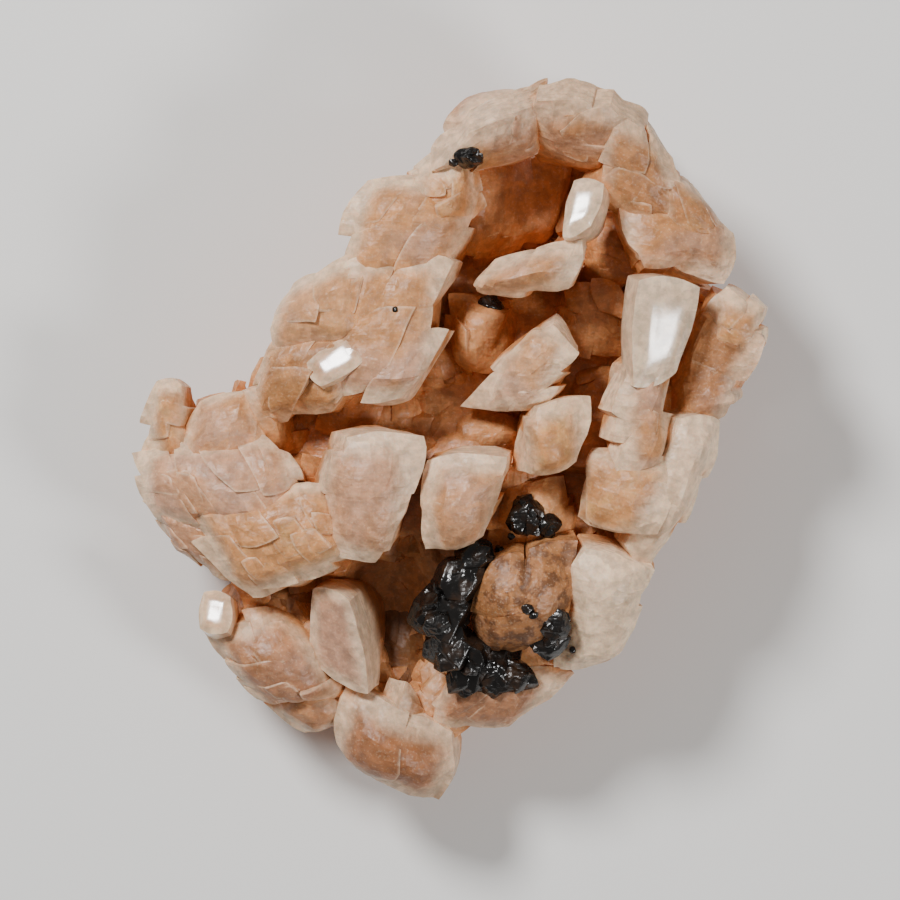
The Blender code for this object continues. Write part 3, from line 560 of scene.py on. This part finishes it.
def crystal_surfaces(crystal, settings, rng, detail=FINE):
    """A plate and its blocks, which are skewed, tilted and stand out by different amounts."""
    frame = plate_frame(crystal)
    length, width = frame[1], frame[2]
    tint, gloss = rng.random(), GLOSSY_CRYSTALS.get(crystal.name, 0.0)
    skew = rng.choice((-1, 1)) * rng.uniform(*CRYSTAL_SKEW)
    slant = rng.uniform(-CRYSTAL_SLANT, CRYSTAL_SLANT)
    root = detail.root or root_length(crystal)
    if gloss:
        shape = (0, 0, root, FACET_WAVER)
        half = (length / 2, width / 2)
        return [block_surface(crystal, frame, (0, 0), half, LEVEL, shape, detail.base_grid, tint, gloss)]
    step = settings.step / MM
    calm = CALM_CRYSTALS.get(crystal.name, 1.0)
    half = (length / 2 * detail.inset, width / 2 * detail.inset)
    lie = (-BASE_SINK * step * calm, 0, 0, 0)
    shape = (0, 0, root, WAVER)
    made = [block_surface(crystal, frame, (0, 0), half, lie, shape, detail.base_grid, tint)]
    block = settings.block / MM * rng.uniform(*BLOCK_RANGE) * detail.block * (CALM_BLOCK if calm < 1 else 1)
    rows, columns = max(1, round(width / block)), max(1, round(length / block))
    spots = [((column + 0.5, row + 0.5), 1.0) for row in range(rows) for column in range(columns)]
    chips = round(rows * columns * detail.chips * calm)
    spots += [((x * columns, y * rows), CHIP_SIZE) for x, y in rng.random((chips, 2))]
    for spot, scale in spots:
        centre = (np.array(spot) + rng.uniform(-BLOCK_SHIFT, BLOCK_SHIFT, 2)) / (columns, rows) * 2 - 1
        half = np.array((length / columns, width / rows)) / 2 * rng.uniform(*BLOCK_SPREAD, 2) * scale
        half = np.minimum(half, (length / 2, width / 2))
        inner = 1 - half * BLOCK_STAY / (length / 2, width / 2)
        centre = np.clip(centre, -inner, inner)
        lift = step * calm * rng.uniform(-1, 1)
        lie = (lift, *rng.normal(0, BLOCK_TILT * calm, 2), rng.normal(0, BLOCK_TURN))
        shape = (skew * rng.uniform(0.6, 1.4), slant * rng.uniform(0, 2), 0.0, WAVER)
        tinted = tint + rng.uniform(-BLOCK_TINT, BLOCK_TINT)
        made.append(block_surface(crystal, frame, centre, half, lie, shape, detail.block_grid, tinted))
    return made


def small_crystal(name, at, turn, lean, size):
    """A skewed and twisted rhomb, rolled about its long axis and then turned as seen from above."""
    half, side, twist = size / 2, size * SMALL_WIDTH / 2, size * SMALL_TWIST
    skew = side * SMALL_SKEW
    flat = np.array([
        (-half - skew, -side, twist), (half - skew, -side, -twist),
        (half + skew, side, twist), (-half + skew, side, -twist),
    ])
    lean, turn = math.radians(lean), math.radians(turn)
    cos, sin = math.cos(lean), math.sin(lean)
    rolled = np.array([(1, 0, 0), (0, cos, -sin), (0, sin, cos)])
    cos, sin = math.cos(turn), math.sin(turn)
    turned = np.array([(cos, -sin, 0), (sin, cos, 0), (0, 0, 1)])
    corners = tuple(map(tuple, np.array(at) + flat @ (turned @ rolled).T))
    return Crystal(name, corners, size * SMALL_THICKNESS, 0.0, 0.0)


def point_along(outline, share):
    """The point at this share of the way round a closed outline, and the direction out of it."""
    ends = list(zip(outline, outline[1:] + outline[:1]))
    lengths = [math.dist(start, end) for start, end in ends]
    left = share * sum(lengths)
    for (start, end), length in zip(ends, lengths):
        if left <= length:
            break
        left -= length
    along = Vector((end[0] - start[0], end[1] - start[1])) / length
    return Vector(start) + along * left, Vector((-along.y, along.x))


def skirt_crystals():
    """Rows of small plates that stick out of the sides of the crust."""
    rng = random.Random(SEED)
    made = []
    for row, (height, count, sizes, out) in enumerate(SKIRT_ROWS):
        for number in range(count):
            share = (number + rng.uniform(*SKIRT_PLACE)) / count
            place, outward = point_along(CRUST_OUTLINE, share)
            place += outward * (out + rng.uniform(-SKIRT_SCATTER, SKIRT_SCATTER))
            heading = math.degrees(math.atan2(outward.y, outward.x)) + 90
            at = (place.x, place.y, height + rng.uniform(-SKIRT_RISE, SKIRT_RISE))
            turn = heading + rng.uniform(-SKIRT_TURN, SKIRT_TURN)
            lean, size = rng.uniform(*SKIRT_LEAN), rng.uniform(*sizes)
            made.append(small_crystal(f"skirt_{row}_{number}", at, turn, lean, size))
    return made


def inside_outline(x, y, outline):
    """Counts the sides that a line to the right crosses: an odd count is inside."""
    crossed = False
    for (ax, ay), (bx, by) in zip(outline, outline[1:] + outline[:1]):
        if (ay > y) != (by > y) and x < ax + (y - ay) * (bx - ax) / (by - ay):
            crossed = not crossed
    return crossed


def fill_crystals():
    """Small plates at odd angles on a loose grid over the top of the crust."""
    rng = random.Random(SEED + 1)
    made = []
    reach = math.ceil(FILL_REACH / FILL_STEP)
    for row in range(-reach, reach + 1):
        for column in range(-reach, reach + 1):
            x = (column + rng.uniform(-FILL_SCATTER, FILL_SCATTER)) * FILL_STEP
            y = (row + rng.uniform(-FILL_SCATTER, FILL_SCATTER)) * FILL_STEP
            turn, lean = rng.uniform(0, 360), rng.uniform(-FILL_LEAN, FILL_LEAN)
            size = rng.uniform(*FILL_SIZE)
            if inside_outline(x, y, CRUST_OUTLINE):
                at = (x, y, float(crust_top(x, y)) - FILL_SINK)
                made.append(small_crystal(f"fill_{row}_{column}", at, turn, lean, size))
    return made


def crust_top(x, y):
    """Height of the crust's top in mm: it swells in the middle and sinks under the deep hollows."""
    height = CRUST_HEIGHT + CRUST_DOME * np.maximum(0.0, 1 - (x * x + y * y) / CRUST_DOME_REACH**2)
    for pit_x, pit_y, radius, depth in CRUST_PITS:
        height = height - depth * np.exp(-((x - pit_x) ** 2 + (y - pit_y) ** 2) / radius**2)
    return height


def outline_radius(angles):
    """Distance from the middle to the crust's outline in each direction, from points taken along it."""
    shares = np.arange(OUTLINE_PLACES) / OUTLINE_PLACES
    places = [point_along(CRUST_OUTLINE, share)[0] for share in shares]
    places = np.array([(place.x, place.y) for place in places])
    bearing = np.arctan2(places[:, 1], places[:, 0])
    order = np.argsort(bearing)
    reach = np.hypot(places[:, 0], places[:, 1])
    return np.interp(angles, bearing[order], reach[order], period=2 * math.pi)


def crust_values(points):
    """The crust's grain, form and shade: it has no rims, no gloss and one tint all over."""
    grain = np.stack((points[:, 0], points[:, 1], np.full(len(points), 0.5)), -1)
    form, shade = (np.tile(values, (len(points), 1)) for values in ((2.0, 0.0, 3.0), CRUST_SHADE))
    return {"grain": grain, "form": form, "shade": shade}


def crust_surface():
    """The crust as a closed box: its top and bottom fill the outline, and its sides are drawn in to the foot.

    Each point goes out from the middle by the outline's radius in its direction. Noise at three
    scales breaks all of it but the flat underside.
    """
    unit, faces = box_lattice(CRUST_GRID)
    a, b, c = unit.T
    angle = np.arctan2(b, a)
    reach = np.maximum(np.abs(a), np.abs(b)) * outline_radius(angle)
    share = (c + 1) / 2
    reach = reach * (FOOT_SHARE + (1 - FOOT_SHARE) * share + BULGE_SHARE * np.sin(np.pi * share))
    x, y = reach * np.cos(angle), reach * np.sin(angle)
    points = np.stack((x, y, share * crust_top(x, y)), -1)
    rough = sum(depth * noise_vector(points, size, seed) for depth, size, seed in CRUST_BREAKS)
    points = points + rough * (share > 0.001)[:, None]
    return new_mesh("crust", points, faces, crust_values(points))


def cut_surface():
    """A block under Z = 0 that takes off what would stick out below the flat underside."""
    unit, faces = box_lattice((1, 1, 1))
    points = unit * UNDERSIDE_CUT - (0, 0, UNDERSIDE_CUT[2])
    return new_mesh("underside_cut", points, faces, crust_values(points))


def joined(base, unions, cuts=()):
    """One mesh: base with the union meshes joined to it and the cut meshes taken off."""
    helpers = []

    def helper(mesh, collection):
        obj = bpy.data.objects.new(mesh.name, mesh)
        collection.objects.link(obj)
        helpers.append(obj)
        return obj

    root = helper(base, bpy.context.scene.collection)
    groups = []
    for operation, meshes in (("UNION", unions), ("DIFFERENCE", cuts)):
        if not meshes:
            continue
        group = bpy.data.collections.new("to_join")
        bpy.context.scene.collection.children.link(group)
        groups.append(group)
        for mesh in meshes:
            helper(mesh, group)
        boolean = root.modifiers.new(operation.lower(), "BOOLEAN")
        boolean.operation = operation
        boolean.operand_type = "COLLECTION"
        boolean.collection = group
        boolean.solver = "MANIFOLD"
    bpy.context.view_layer.update()
    result = bpy.data.meshes.new_from_object(root.evaluated_get(bpy.context.evaluated_depsgraph_get()))
    for obj in helpers:
        bpy.data.objects.remove(obj)
    for group in groups:
        bpy.data.collections.remove(group)
    return result


def keep_outer_shell(mesh):
    """Takes out the closed voids between crystals, and loose chips."""
    bm = bmesh.new()
    bm.from_mesh(mesh)
    shells = []
    waiting = set(bm.faces)
    while waiting:
        reached = [waiting.pop()]
        for face in reached:
            for edge in face.edges:
                for other in edge.link_faces:
                    if other in waiting:
                        waiting.discard(other)
                        reached.append(other)
        shells.append(reached)
    shells.sort(key=len)
    bmesh.ops.delete(bm, geom=[face for shell in shells[:-1] for face in shell], context="FACES")
    bm.to_mesh(mesh)
    bm.free()


def mesh_points(mesh):
    points = np.empty(len(mesh.vertices) * 3, np.float32)
    mesh.vertices.foreach_get("co", points)
    return points.reshape(-1, 3)


def height_map(points):
    """The highest point over each cell of a square grid. An empty cell takes its neighbours' highest."""
    count = 2 * math.ceil(MAP_REACH / MAP_CELL) + 1
    column, row = np.round(points[:, :2] / MAP_CELL).astype(int).T + count // 2
    heights = np.zeros((count, count))
    np.maximum.at(heights, (column, row), points[:, 2])
    spread = heights.copy()
    for shift in ((1, 0), (-1, 0), (0, 1), (0, -1)):
        spread = np.maximum(spread, np.roll(heights, shift, axis=(0, 1)))
    return np.where(heights > 0, heights, spread)


def add_openness(mesh):
    """Gives each point the share of the sky that it sees, from 0 to 1.

    In each direction the horizon is the steepest line from the point to the height map within
    reach, and what it leaves of the sky is 1 - sine of its angle. The share is the mean over all
    directions. A point with something over it keeps part of its share, and an open side gains some.
    """
    points = mesh_points(mesh) / MM
    heights = height_map(points)
    middle = len(heights) // 2

    def height_at(places):
        column, row = np.round(places / MAP_CELL).astype(int).T + middle
        return heights[column, row]

    seen = np.zeros(len(points))
    for turn in np.arange(BEARINGS) * 2 * math.pi / BEARINGS:
        direction = np.array((math.cos(turn), math.sin(turn)))
        horizon = np.zeros(len(points))
        for away in HORIZON_STEPS:
            above = height_at(points[:, :2] + away * direction) - points[:, 2]
            horizon = np.maximum(horizon, (above - HORIZON_SLACK) / away)
        seen += 1 - horizon / np.sqrt(1 + horizon**2)
    covered = smooth_step(*COVERED_BY, height_at(points[:, :2]) - points[:, 2])
    openness = seen / BEARINGS * (1 - COVERED_LOSS * covered)
    normals = np.empty(len(points) * 3, np.float32)
    mesh.vertices.foreach_get("normal", normals)
    sideways = 1 - np.clip(normals.reshape(-1, 3)[:, 2], 0, 1)
    openness += SIDE_SHARE * sideways * smooth_step(*OPEN_FROM, openness)
    # The material lays its painted shade by this share
    attribute = mesh.attributes.new("openness", "FLOAT", "POINT")
    attribute.data.foreach_set("value", openness.astype(np.float32))


def sharpen(mesh, degrees):
    """Marks edges sharper than this angle, so that flat blocks keep crisp edges under smooth shading."""
    mesh.shade_smooth()
    mesh.set_sharp_from_angle(angle=math.radians(degrees))


def druse(rng):
    """Tiny rhombs at odd angles all over the crust's top and sides."""
    places = []
    for x in np.arange(-DRUSE_REACH[0], DRUSE_REACH[0] + 0.1, DRUSE_STEP):
        for y in np.arange(-DRUSE_REACH[1], DRUSE_REACH[1] + 0.1, DRUSE_STEP):
            px = x + rng.uniform(-DRUSE_SCATTER, DRUSE_SCATTER)
            py = y + rng.uniform(-DRUSE_SCATTER, DRUSE_SCATTER)
            if inside_outline(px, py, CRUST_OUTLINE):
                places.append(((px, py, crust_top(px, py) + 0.1), rng.uniform(*DRUSE_LEAN)))
    for height in np.arange(*DRUSE_SIDE_HEIGHTS, DRUSE_STEP):
        for share in np.arange(0, 1, DRUSE_SIDE_STEP):
            place, _ = point_along(CRUST_OUTLINE, (share + rng.uniform(0, DRUSE_SIDE_SCATTER)) % 1)
            place = place * (FOOT_SHARE + (1 - FOOT_SHARE) * height / CRUST_HEIGHT + 0.02)
            at = (place.x, place.y, height + rng.uniform(-0.4, 0.4))
            places.append((at, rng.uniform(*DRUSE_SIDE_LEAN)))
    made = []
    for at, lean in places:
        crystal = small_crystal("druse", at, rng.uniform(0, 360), lean, rng.uniform(*DRUSE_SIZE))
        corners = [(x, y, unstretched(z)) for x, y, z in crystal.corners]
        frame = plate_frame(crystal._replace(corners=corners))
        half = (frame[1] / 2, frame[2] / 2)
        made.append(block_surface(crystal, frame, (0, 0), half, LEVEL, DRUSE_SHAPE, (2, 2, 1), rng.random()))
    return made


def dolomite_mesh(settings):
    rng = np.random.default_rng(settings.seed)
    blocks = []
    for crystal in MAIN_CRYSTALS:
        blocks += crystal_surfaces(crystal, settings, rng)
    for crystal in skirt_crystals() + fill_crystals():
        blocks += crystal_surfaces(crystal, settings, rng, PLAIN)
    blocks += druse(rng)
    mesh = joined(crust_surface(), blocks, [cut_surface()])
    keep_outer_shell(mesh)
    mesh.transform(Matrix.Translation((CENTRING[0] * MM, CENTRING[1] * MM, 0)))
    sharpen(mesh, CRYSTAL_EDGE)
    add_openness(mesh)
    return mesh


def set_inputs(node, values):
    """Gives a node's inputs values, or links them to output sockets."""
    for key, value in values.items():
        if isinstance(value, bpy.types.NodeSocket):
            node.id_data.links.new(value, node.inputs[key])
        else:
            node.inputs[key].default_value = value


def add_node(tree, kind, inputs=None, **settings):
    """Adds a node and sets its properties and inputs."""
    node = tree.nodes.new(kind)
    for key, value in settings.items():
        setattr(node, key, value)
    set_inputs(node, inputs or {})
    return node


def colour(values):
    return (*values, 1.0)


def blend(tree, share, first, second):
    """Colour between first and second by share."""
    node = add_node(tree, "ShaderNodeMix", {0: share, 6: first, 7: second}, data_type="RGBA")
    return node.outputs[2]


def scaled(tree, vector, factor):
    return add_node(tree, "ShaderNodeVectorMath", {0: vector, 3: factor}, operation="SCALE").outputs[0]


def ramp(tree, value, start, end, low=0.0, high=1.0):
    """Low up to start, high from end, and a smooth change between."""
    inputs = {"Value": value, "From Min": start, "From Max": end, "To Min": low, "To Max": high}
    return add_node(tree, "ShaderNodeMapRange", inputs, interpolation_type="SMOOTHSTEP").outputs["Result"]


def maths(tree, operation, first, second=0.0):
    return add_node(tree, "ShaderNodeMath", {0: first, 1: second}, operation=operation).outputs[0]


def noise(tree, place, size, detail=2.0, roughness=0.5):
    """Noise from 0 to 1 with spots of about this size in metres."""
    inputs = {"Vector": place, "Scale": 1 / size, "Detail": detail, "Roughness": roughness}
    return add_node(tree, "ShaderNodeTexNoise", inputs).outputs["Fac"]


def attribute_parts(tree, name):
    vector = add_node(tree, "ShaderNodeAttribute", attribute_name=name).outputs["Vector"]
    return add_node(tree, "ShaderNodeSeparateXYZ", {"Vector": vector}).outputs


def crystal_skin_group():
    """Shared by both minerals: fine grain, waves, growth lines and a mosaic as a normal, and two masks."""
    group = bpy.data.node_groups.new("crystal_skin", "ShaderNodeTree")
    for name, in_out, kind in (
        ("Grain", "INPUT", "Float"), ("Lines", "INPUT", "Float"), ("Line size", "INPUT", "Float"),
        ("Direction", "INPUT", "Vector"), ("Normal", "OUTPUT", "Vector"), ("Specks", "OUTPUT", "Float"),
        ("Tiles", "OUTPUT", "Float"),
    ):
        group.interface.new_socket(name, in_out=in_out, socket_type="NodeSocket" + kind)
    given = group.nodes.new("NodeGroupInput").outputs
    place = add_node(group, "ShaderNodeTexCoord").outputs["Object"]
    specks = ramp(group, noise(group, place, SPECK_SPOTS, 1.0), 0.56, 0.74)
    wander = maths(group, "MULTIPLY", noise(group, place, WANDER_SPOTS, 1.0), 2.0)
    along = add_node(group, "ShaderNodeSeparateXYZ", {"Vector": given["Direction"]}).outputs["Y"]
    phase = maths(group, "ADD", maths(group, "DIVIDE", along, given["Line size"]), wander)
    tile_inputs = {"Vector": given["Direction"], "Scale": TILES_PER_MM, "Randomness": 0.8}
    tiles = add_node(group, "ShaderNodeTexVoronoi", tile_inputs, distance="CHEBYCHEV").outputs
    normal = {}
    for strength, depth, height in (  # each depth is in m
        ("Lines", 0.00002, ramp(group, maths(group, "PINGPONG", phase, 0.5), 0.1, 0.3)),
        ("Grain", 0.00004, noise(group, place, GRAIN_SPOTS, 3.0, 0.6)),
        ("Grain", 0.00025, noise(group, place, WAVE_SPOTS, 2.0)),
        ("Grain", 0.0002, tiles["Distance"]),
    ):
        inputs = {"Strength": given[strength], "Distance": depth, "Height": height, **normal}
        normal = {"Normal": add_node(group, "ShaderNodeBump", inputs).outputs["Normal"]}
    tile = add_node(group, "ShaderNodeSeparateXYZ", {"Vector": tiles["Color"]}).outputs["X"]
    set_inputs(group.nodes.new("NodeGroupOutput"), {"Specks": specks, "Tiles": tile, **normal})
    return group


def new_material(name):
    material = bpy.data.materials.new(name)
    material.use_nodes = True
    return material, material.node_tree, material.node_tree.nodes["Principled BSDF"]


def dolomite_material(settings, skin_group):
    """Pale pink dolomite: orange in the recesses and brown in the pits, partly staining and partly painted
    shade, and pale on the edges, partly frost and partly painted highlight.
    """
    material, tree, shader = new_material("dolomite")
    place = add_node(tree, "ShaderNodeTexCoord").outputs["Object"]
    grain, form, shade = (attribute_parts(tree, name) for name in ("grain", "form", "shade"))
    tint, edge, gloss, outer = grain["Z"], form["X"], form["Y"], form["Z"]
    tone, gold, cool = shade["X"], shade["Y"], shade["Z"]
    openness = add_node(tree, "ShaderNodeAttribute", attribute_name="openness").outputs["Fac"]
    skin_inputs = {
        "Direction": add_node(tree, "ShaderNodeAttribute", attribute_name="grain").outputs["Vector"],
        "Grain": ramp(tree, gloss, 0.2, 0.8, 0.4, 0.13),
        "Lines": ramp(tree, gloss, 0.2, 0.8, 0.12, 0.03), "Line size": LINE_SIZE,
    }
    skin = add_node(tree, "ShaderNodeGroup", skin_inputs, node_tree=skin_group).outputs

    def times(first, second):
        return maths(tree, "MULTIPLY", first, second)

    def over(share, shown):
        """The body colour so far, with another laid over this share of it."""
        return blend(tree, share, body, colour(shown))

    wide = noise(tree, place, WIDE_SPOTS)
    patches = noise(tree, place, PATCH_SPOTS, 3.0, 0.6)
    lilac = times(ramp(tree, wide, 0.42, 0.62), ramp(tree, tint, 0.85, 0.2))
    cream = times(ramp(tree, patches, 0.45, 0.7), ramp(tree, tint, 0.35, 1.0))
    body = blend(tree, times(lilac, 0.75), colour(settings.face), colour(settings.lilac))
    body = over(times(cream, 0.7), settings.cream)
    body = over(cool, settings.lilac)
    body = over(times(gold, ramp(tree, patches, 0.35, 0.62, 0.25, 0.95)), settings.gold)
    # Partly each crystal's own tone and partly painted light and shade: dark and shaded crystals turn tan,
    # and pale, lit crystals and glint facets take the edge colour
    body = over(ramp(tree, tone, 0.0, -1.0), settings.tan)
    body = over(ramp(tree, tone, 0.0, 1.2), settings.pearl_and_highlight)
    stains = times(ramp(tree, noise(tree, place, STAIN_SPOTS, 3.0, 0.6), 0.44, 0.58), gold)
    body = over(times(stains, 0.7), settings.stain)

    # Painted shade, partly real staining: the less sky a place sees, the more orange it turns, and brown
    # where it is least open
    wavy = maths(tree, "ADD", openness, times(patches, 0.22))
    body = over(times(ramp(tree, wavy, 0.96, 0.6), 0.9), settings.recess_stain_and_shade)
    body = over(ramp(tree, wavy, 0.5, 0.15), settings.pit_stain_and_shade)

    # Painted highlight, partly frost: the crystals' outlines and the blocks' edges turn pale where they are
    # open to the sky, but not on golden crystals
    ragged = maths(tree, "ADD", outer, times(patches, -0.6))
    rim = times(ramp(tree, ragged, 0.6, -0.2), 0.75)
    inner_frost_and_highlight = times(ramp(tree, edge, 0.16, 0.0), 0.45)
    rim = times(maths(tree, "MAXIMUM", rim, inner_frost_and_highlight), ramp(tree, openness, 0.4, 0.75))
    body = over(times(rim, maths(tree, "SUBTRACT", 1.0, gold)), settings.pearl_and_highlight)
    body = over(times(skin["Specks"], 0.2), settings.pearl_and_highlight)
    dim = ramp(tree, noise(tree, place, DIM_SPOTS, 3.0, 0.65), 0.3, 0.7, 0.74, 1.12)
    tiled = ramp(tree, skin["Tiles"], 0.0, 1.0, 0.9, 1.08)
    # Painted shade: the crystals down in the deepest hollow are darkened further
    deep_hollow_shade = ramp(tree, tone, -1.0, -2.0, 1.0, 0.45)
    for factor in (dim, tiled, deep_hollow_shade):
        body = scaled(tree, body, factor)

    shiny = ramp(tree, gloss, 0.2, 0.8)
    dull = ramp(tree, patches, 0.3, 0.7, 0.4, 0.56)
    rough = add_node(tree, "ShaderNodeMix", {0: shiny, 2: dull, 3: 0.3}, data_type="FLOAT").outputs[0]
    set_inputs(shader, {
        "Base Color": body, "Roughness": rough, "Normal": skin["Normal"], "IOR": 1.6,
        "Specular IOR Level": 0.4, "Subsurface Weight": 0.22, "Subsurface Radius": (1.0, 0.4, 0.2),
        "Subsurface Scale": 0.0006, "Coat Weight": shiny, "Coat Roughness": 0.2, "Coat IOR": 1.8,
    })
    return material


def sphalerite_material(settings, skin_group):
    """Near-black, shiny sphalerite with brown patches."""
    material, tree, shader = new_material("sphalerite")
    place = add_node(tree, "ShaderNodeTexCoord").outputs["Object"]
    skin_inputs = {
        "Direction": scaled(tree, place, 1 / MM), "Grain": 0.4, "Lines": 0.15, "Line size": LINE_SIZE,
    }
    skin = add_node(tree, "ShaderNodeGroup", skin_inputs, node_tree=skin_group).outputs
    patches = noise(tree, place, BROWN_SPOTS, 3.0)
    brown = ramp(tree, patches, 0.5, 0.75)
    set_inputs(shader, {
        "Base Color": blend(tree, brown, colour(settings.colour), colour(settings.patch)),
        "Roughness": ramp(tree, patches, 0.3, 0.7, 0.16, 0.32), "Normal": skin["Normal"],
        "IOR": 1.75, "Specular IOR Level": 0.32,
    })
    return material


def lump_surface(place, width, rng, spacing):
    """A closed many-sided lump: in each direction its radius is the least that any facet plane allows.

    The planes are rounded together by a high power, so that the edges between facets are a little soft.
    """
    count = max(FEWEST_SQUARES, round(width * SQUARES_PER_WIDTH / spacing))
    unit, faces = box_lattice((count, count, count))
    way = unit / np.linalg.norm(unit, axis=1)[:, None]
    planes = rng.normal(size=(LUMP_FACETS, 3))
    planes = np.concatenate((planes, -planes[:OPPOSITE_FACETS]))
    planes /= np.linalg.norm(planes, axis=1)[:, None]
    distance = rng.uniform(*FACET_DISTANCE, len(planes))
    push = np.clip(way @ planes.T, 0, None) / distance
    radius = (push**FACET_ROUNDING).sum(axis=1) ** (-1 / FACET_ROUNDING)
    points = way * (radius * width / 2)[:, None] * rng.uniform(*LUMP_STRETCH, 3) + place
    return new_mesh("lump", points, faces)


def surface_under(tree, x, y):
    """Height in mm of the first surface under a point, seen from above."""
    return tree.ray_cast(Vector((x, y, ABOVE)) * MM, Vector((0, 0, -1)))[0].z / MM


def finished(name, mesh, material):
    """The mesh as a piece of the object, in place, with this material."""
    mesh.name = name
    mesh.materials.clear()
    mesh.materials.append(material)
    obj = bpy.data.objects.new(name, mesh)
    bpy.context.scene.collection.objects.link(obj)
    return obj


def grown_together(name, lumps, material):
    """One piece from lumps that overlap, with crisp facets."""
    mesh = joined(lumps[0], lumps[1:])
    sharpen(mesh, SPHALERITE_EDGE)
    return finished(name, mesh, material)


def skin_group():
    return bpy.data.node_groups.get("crystal_skin") or crystal_skin_group()


class MINERAL_OT_dolomite_cluster(bpy.types.Operator):
    """Grow the dolomite crystals and their crust as one piece"""

    bl_idname = "mineral.dolomite_cluster"
    bl_label = "Dolomite Cluster"
    bl_options = {"REGISTER", "UNDO"}

    def execute(self, context):
        settings = context.scene.dolomite
        mesh = dolomite_mesh(settings)
        cluster = finished("dolomite_crystals", mesh, dolomite_material(settings, skin_group()))
        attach(cluster, "root")
        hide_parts("dolomite_cluster")
        return {"FINISHED"}


class MINERAL_OT_sphalerite_grains(bpy.types.Operator):
    """Set the sphalerite grains and specks in the dolomite"""

    bl_idname = "mineral.sphalerite_grains"
    bl_label = "Sphalerite Grains"
    bl_options = {"REGISTER", "UNDO"}

    def execute(self, context):
        settings = context.scene.sphalerite
        cluster = bpy.data.objects["dolomite_crystals"]
        surface = BVHTree.FromObject(cluster, context.evaluated_depsgraph_get())
        material = sphalerite_material(settings, skin_group())
        spacing = settings.spacing / MM
        rng = np.random.default_rng(SEED)
        for name, lumps in SPHALERITE_GRAINS.items():
            meshes = []
            for x, y, z, width in lumps:
                x, y = x + CENTRING[0], y + CENTRING[1]
                z = surface_under(surface, x, y) - GRAIN_SINK if z is None else stretched(z)
                meshes.append(lump_surface((x, y, z), width, rng, spacing))
                for way in rng.normal(size=(KNOBS, 3)):
                    way /= np.linalg.norm(way)
                    way[2] = abs(way[2])
                    size = width * rng.uniform(*KNOB_SIZE)
                    place = np.array((x, y, z)) + way * width * KNOB_PLACE
                    meshes.append(lump_surface(place, size, rng, spacing))
            grain = grown_together("look_" + name, meshes, material)
            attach(grain, "root")
            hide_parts(name)

        dots = []
        for x, y, width in SPECKS:
            x, y = x + CENTRING[0], y + CENTRING[1]
            place = (x, y, surface_under(surface, x, y))
            dots.append(lump_surface(place, width, rng, spacing))
        specks = grown_together("sphalerite_specks", dots, material)
        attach(specks, "root")
        return {"FINISHED"}


class MINERAL_OT_stage(bpy.types.Operator):
    """Lay a pale floor and set up the lights and the camera, which looks straight down"""

    bl_idname = "mineral.stage"
    bl_label = "Stage"
    bl_options = {"REGISTER", "UNDO"}

    def execute(self, context):
        settings = context.scene.stage
        material, _, shader = new_material("floor")
        set_inputs(shader, {"Base Color": colour(settings.floor), "Roughness": 0.8})
        corners = FLOOR_REACH * np.array([(-1, -1, 0), (1, -1, 0), (1, 1, 0), (-1, 1, 0)])
        finished("floor", new_mesh("floor", corners, [(0, 1, 2, 3)]), material)
        for name, power, size, place in (  # size and place in m
            ("main_light", settings.key, 0.07, (-0.12, 0.14, 0.2)),
            ("second_light", settings.fill, 0.06, (0.16, -0.08, 0.17)),
        ):
            light = bpy.data.lights.new(name, "AREA")
            light.energy = power
            light.shape = "DISK"
            light.size = size
            lamp = bpy.data.objects.new(name, light)
            lamp.location = place
            lamp.rotation_euler = (-Vector(place)).to_track_quat("-Z", "Y").to_euler()
            context.scene.collection.objects.link(lamp)
        world = bpy.data.worlds.new("studio")
        world.use_nodes = True
        set_inputs(world.node_tree.nodes["Background"], {"Color": WORLD_COLOUR, "Strength": WORLD_LIGHT})
        context.scene.world = world
        camera = bpy.data.cameras.new("camera")
        camera.lens = camera.sensor_width * (settings.distance - MIDDLE_HEIGHT) / settings.view_width
        camera.clip_start = 0.01
        holder = bpy.data.objects.new("camera", camera)
        holder.location = (0, 0, settings.distance)
        context.scene.collection.objects.link(holder)
        context.scene.camera = holder
        return {"FINISHED"}


class MINERAL_PT_cluster(bpy.types.Panel):
    """Settings and buttons of the cluster"""

    bl_label = "Dolomite Cluster"
    bl_idname = "MINERAL_PT_cluster"
    bl_space_type = "VIEW_3D"
    bl_region_type = "UI"
    bl_category = "Mineral"

    def draw(self, context):
        for group, operator in (
            (context.scene.dolomite, MINERAL_OT_dolomite_cluster),
            (context.scene.sphalerite, MINERAL_OT_sphalerite_grains),
            (context.scene.stage, MINERAL_OT_stage),
        ):
            box = self.layout.box()
            for key in group.__annotations__:
                box.prop(group, key)
            box.operator(operator.bl_idname)


CLASSES = (
    DolomiteSettings,
    SphaleriteSettings,
    StageSettings,
    MINERAL_OT_dolomite_cluster,
    MINERAL_OT_sphalerite_grains,
    MINERAL_OT_stage,
    MINERAL_PT_cluster,
)


def register():
    for cls in CLASSES:
        bpy.utils.register_class(cls)
    bpy.types.Scene.dolomite = PointerProperty(type=DolomiteSettings)
    bpy.types.Scene.sphalerite = PointerProperty(type=SphaleriteSettings)
    bpy.types.Scene.stage = PointerProperty(type=StageSettings)


def unregister():
    del bpy.types.Scene.stage
    del bpy.types.Scene.sphalerite
    del bpy.types.Scene.dolomite
    for cls in reversed(CLASSES):
        bpy.utils.unregister_class(cls)


def clear_startup():
    """Takes out what the startup file holds, but nothing of the frame."""
    for name in ("Cube", "Light", "Camera"):
        if name in bpy.data.objects:
            bpy.data.objects.remove(bpy.data.objects[name])


def main():
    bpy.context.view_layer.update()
    clear_startup()
    register()
    bpy.ops.mineral.dolomite_cluster()
    bpy.ops.mineral.sphalerite_grains()
    bpy.ops.mineral.stage()


if __name__ == "__main__":
    main()
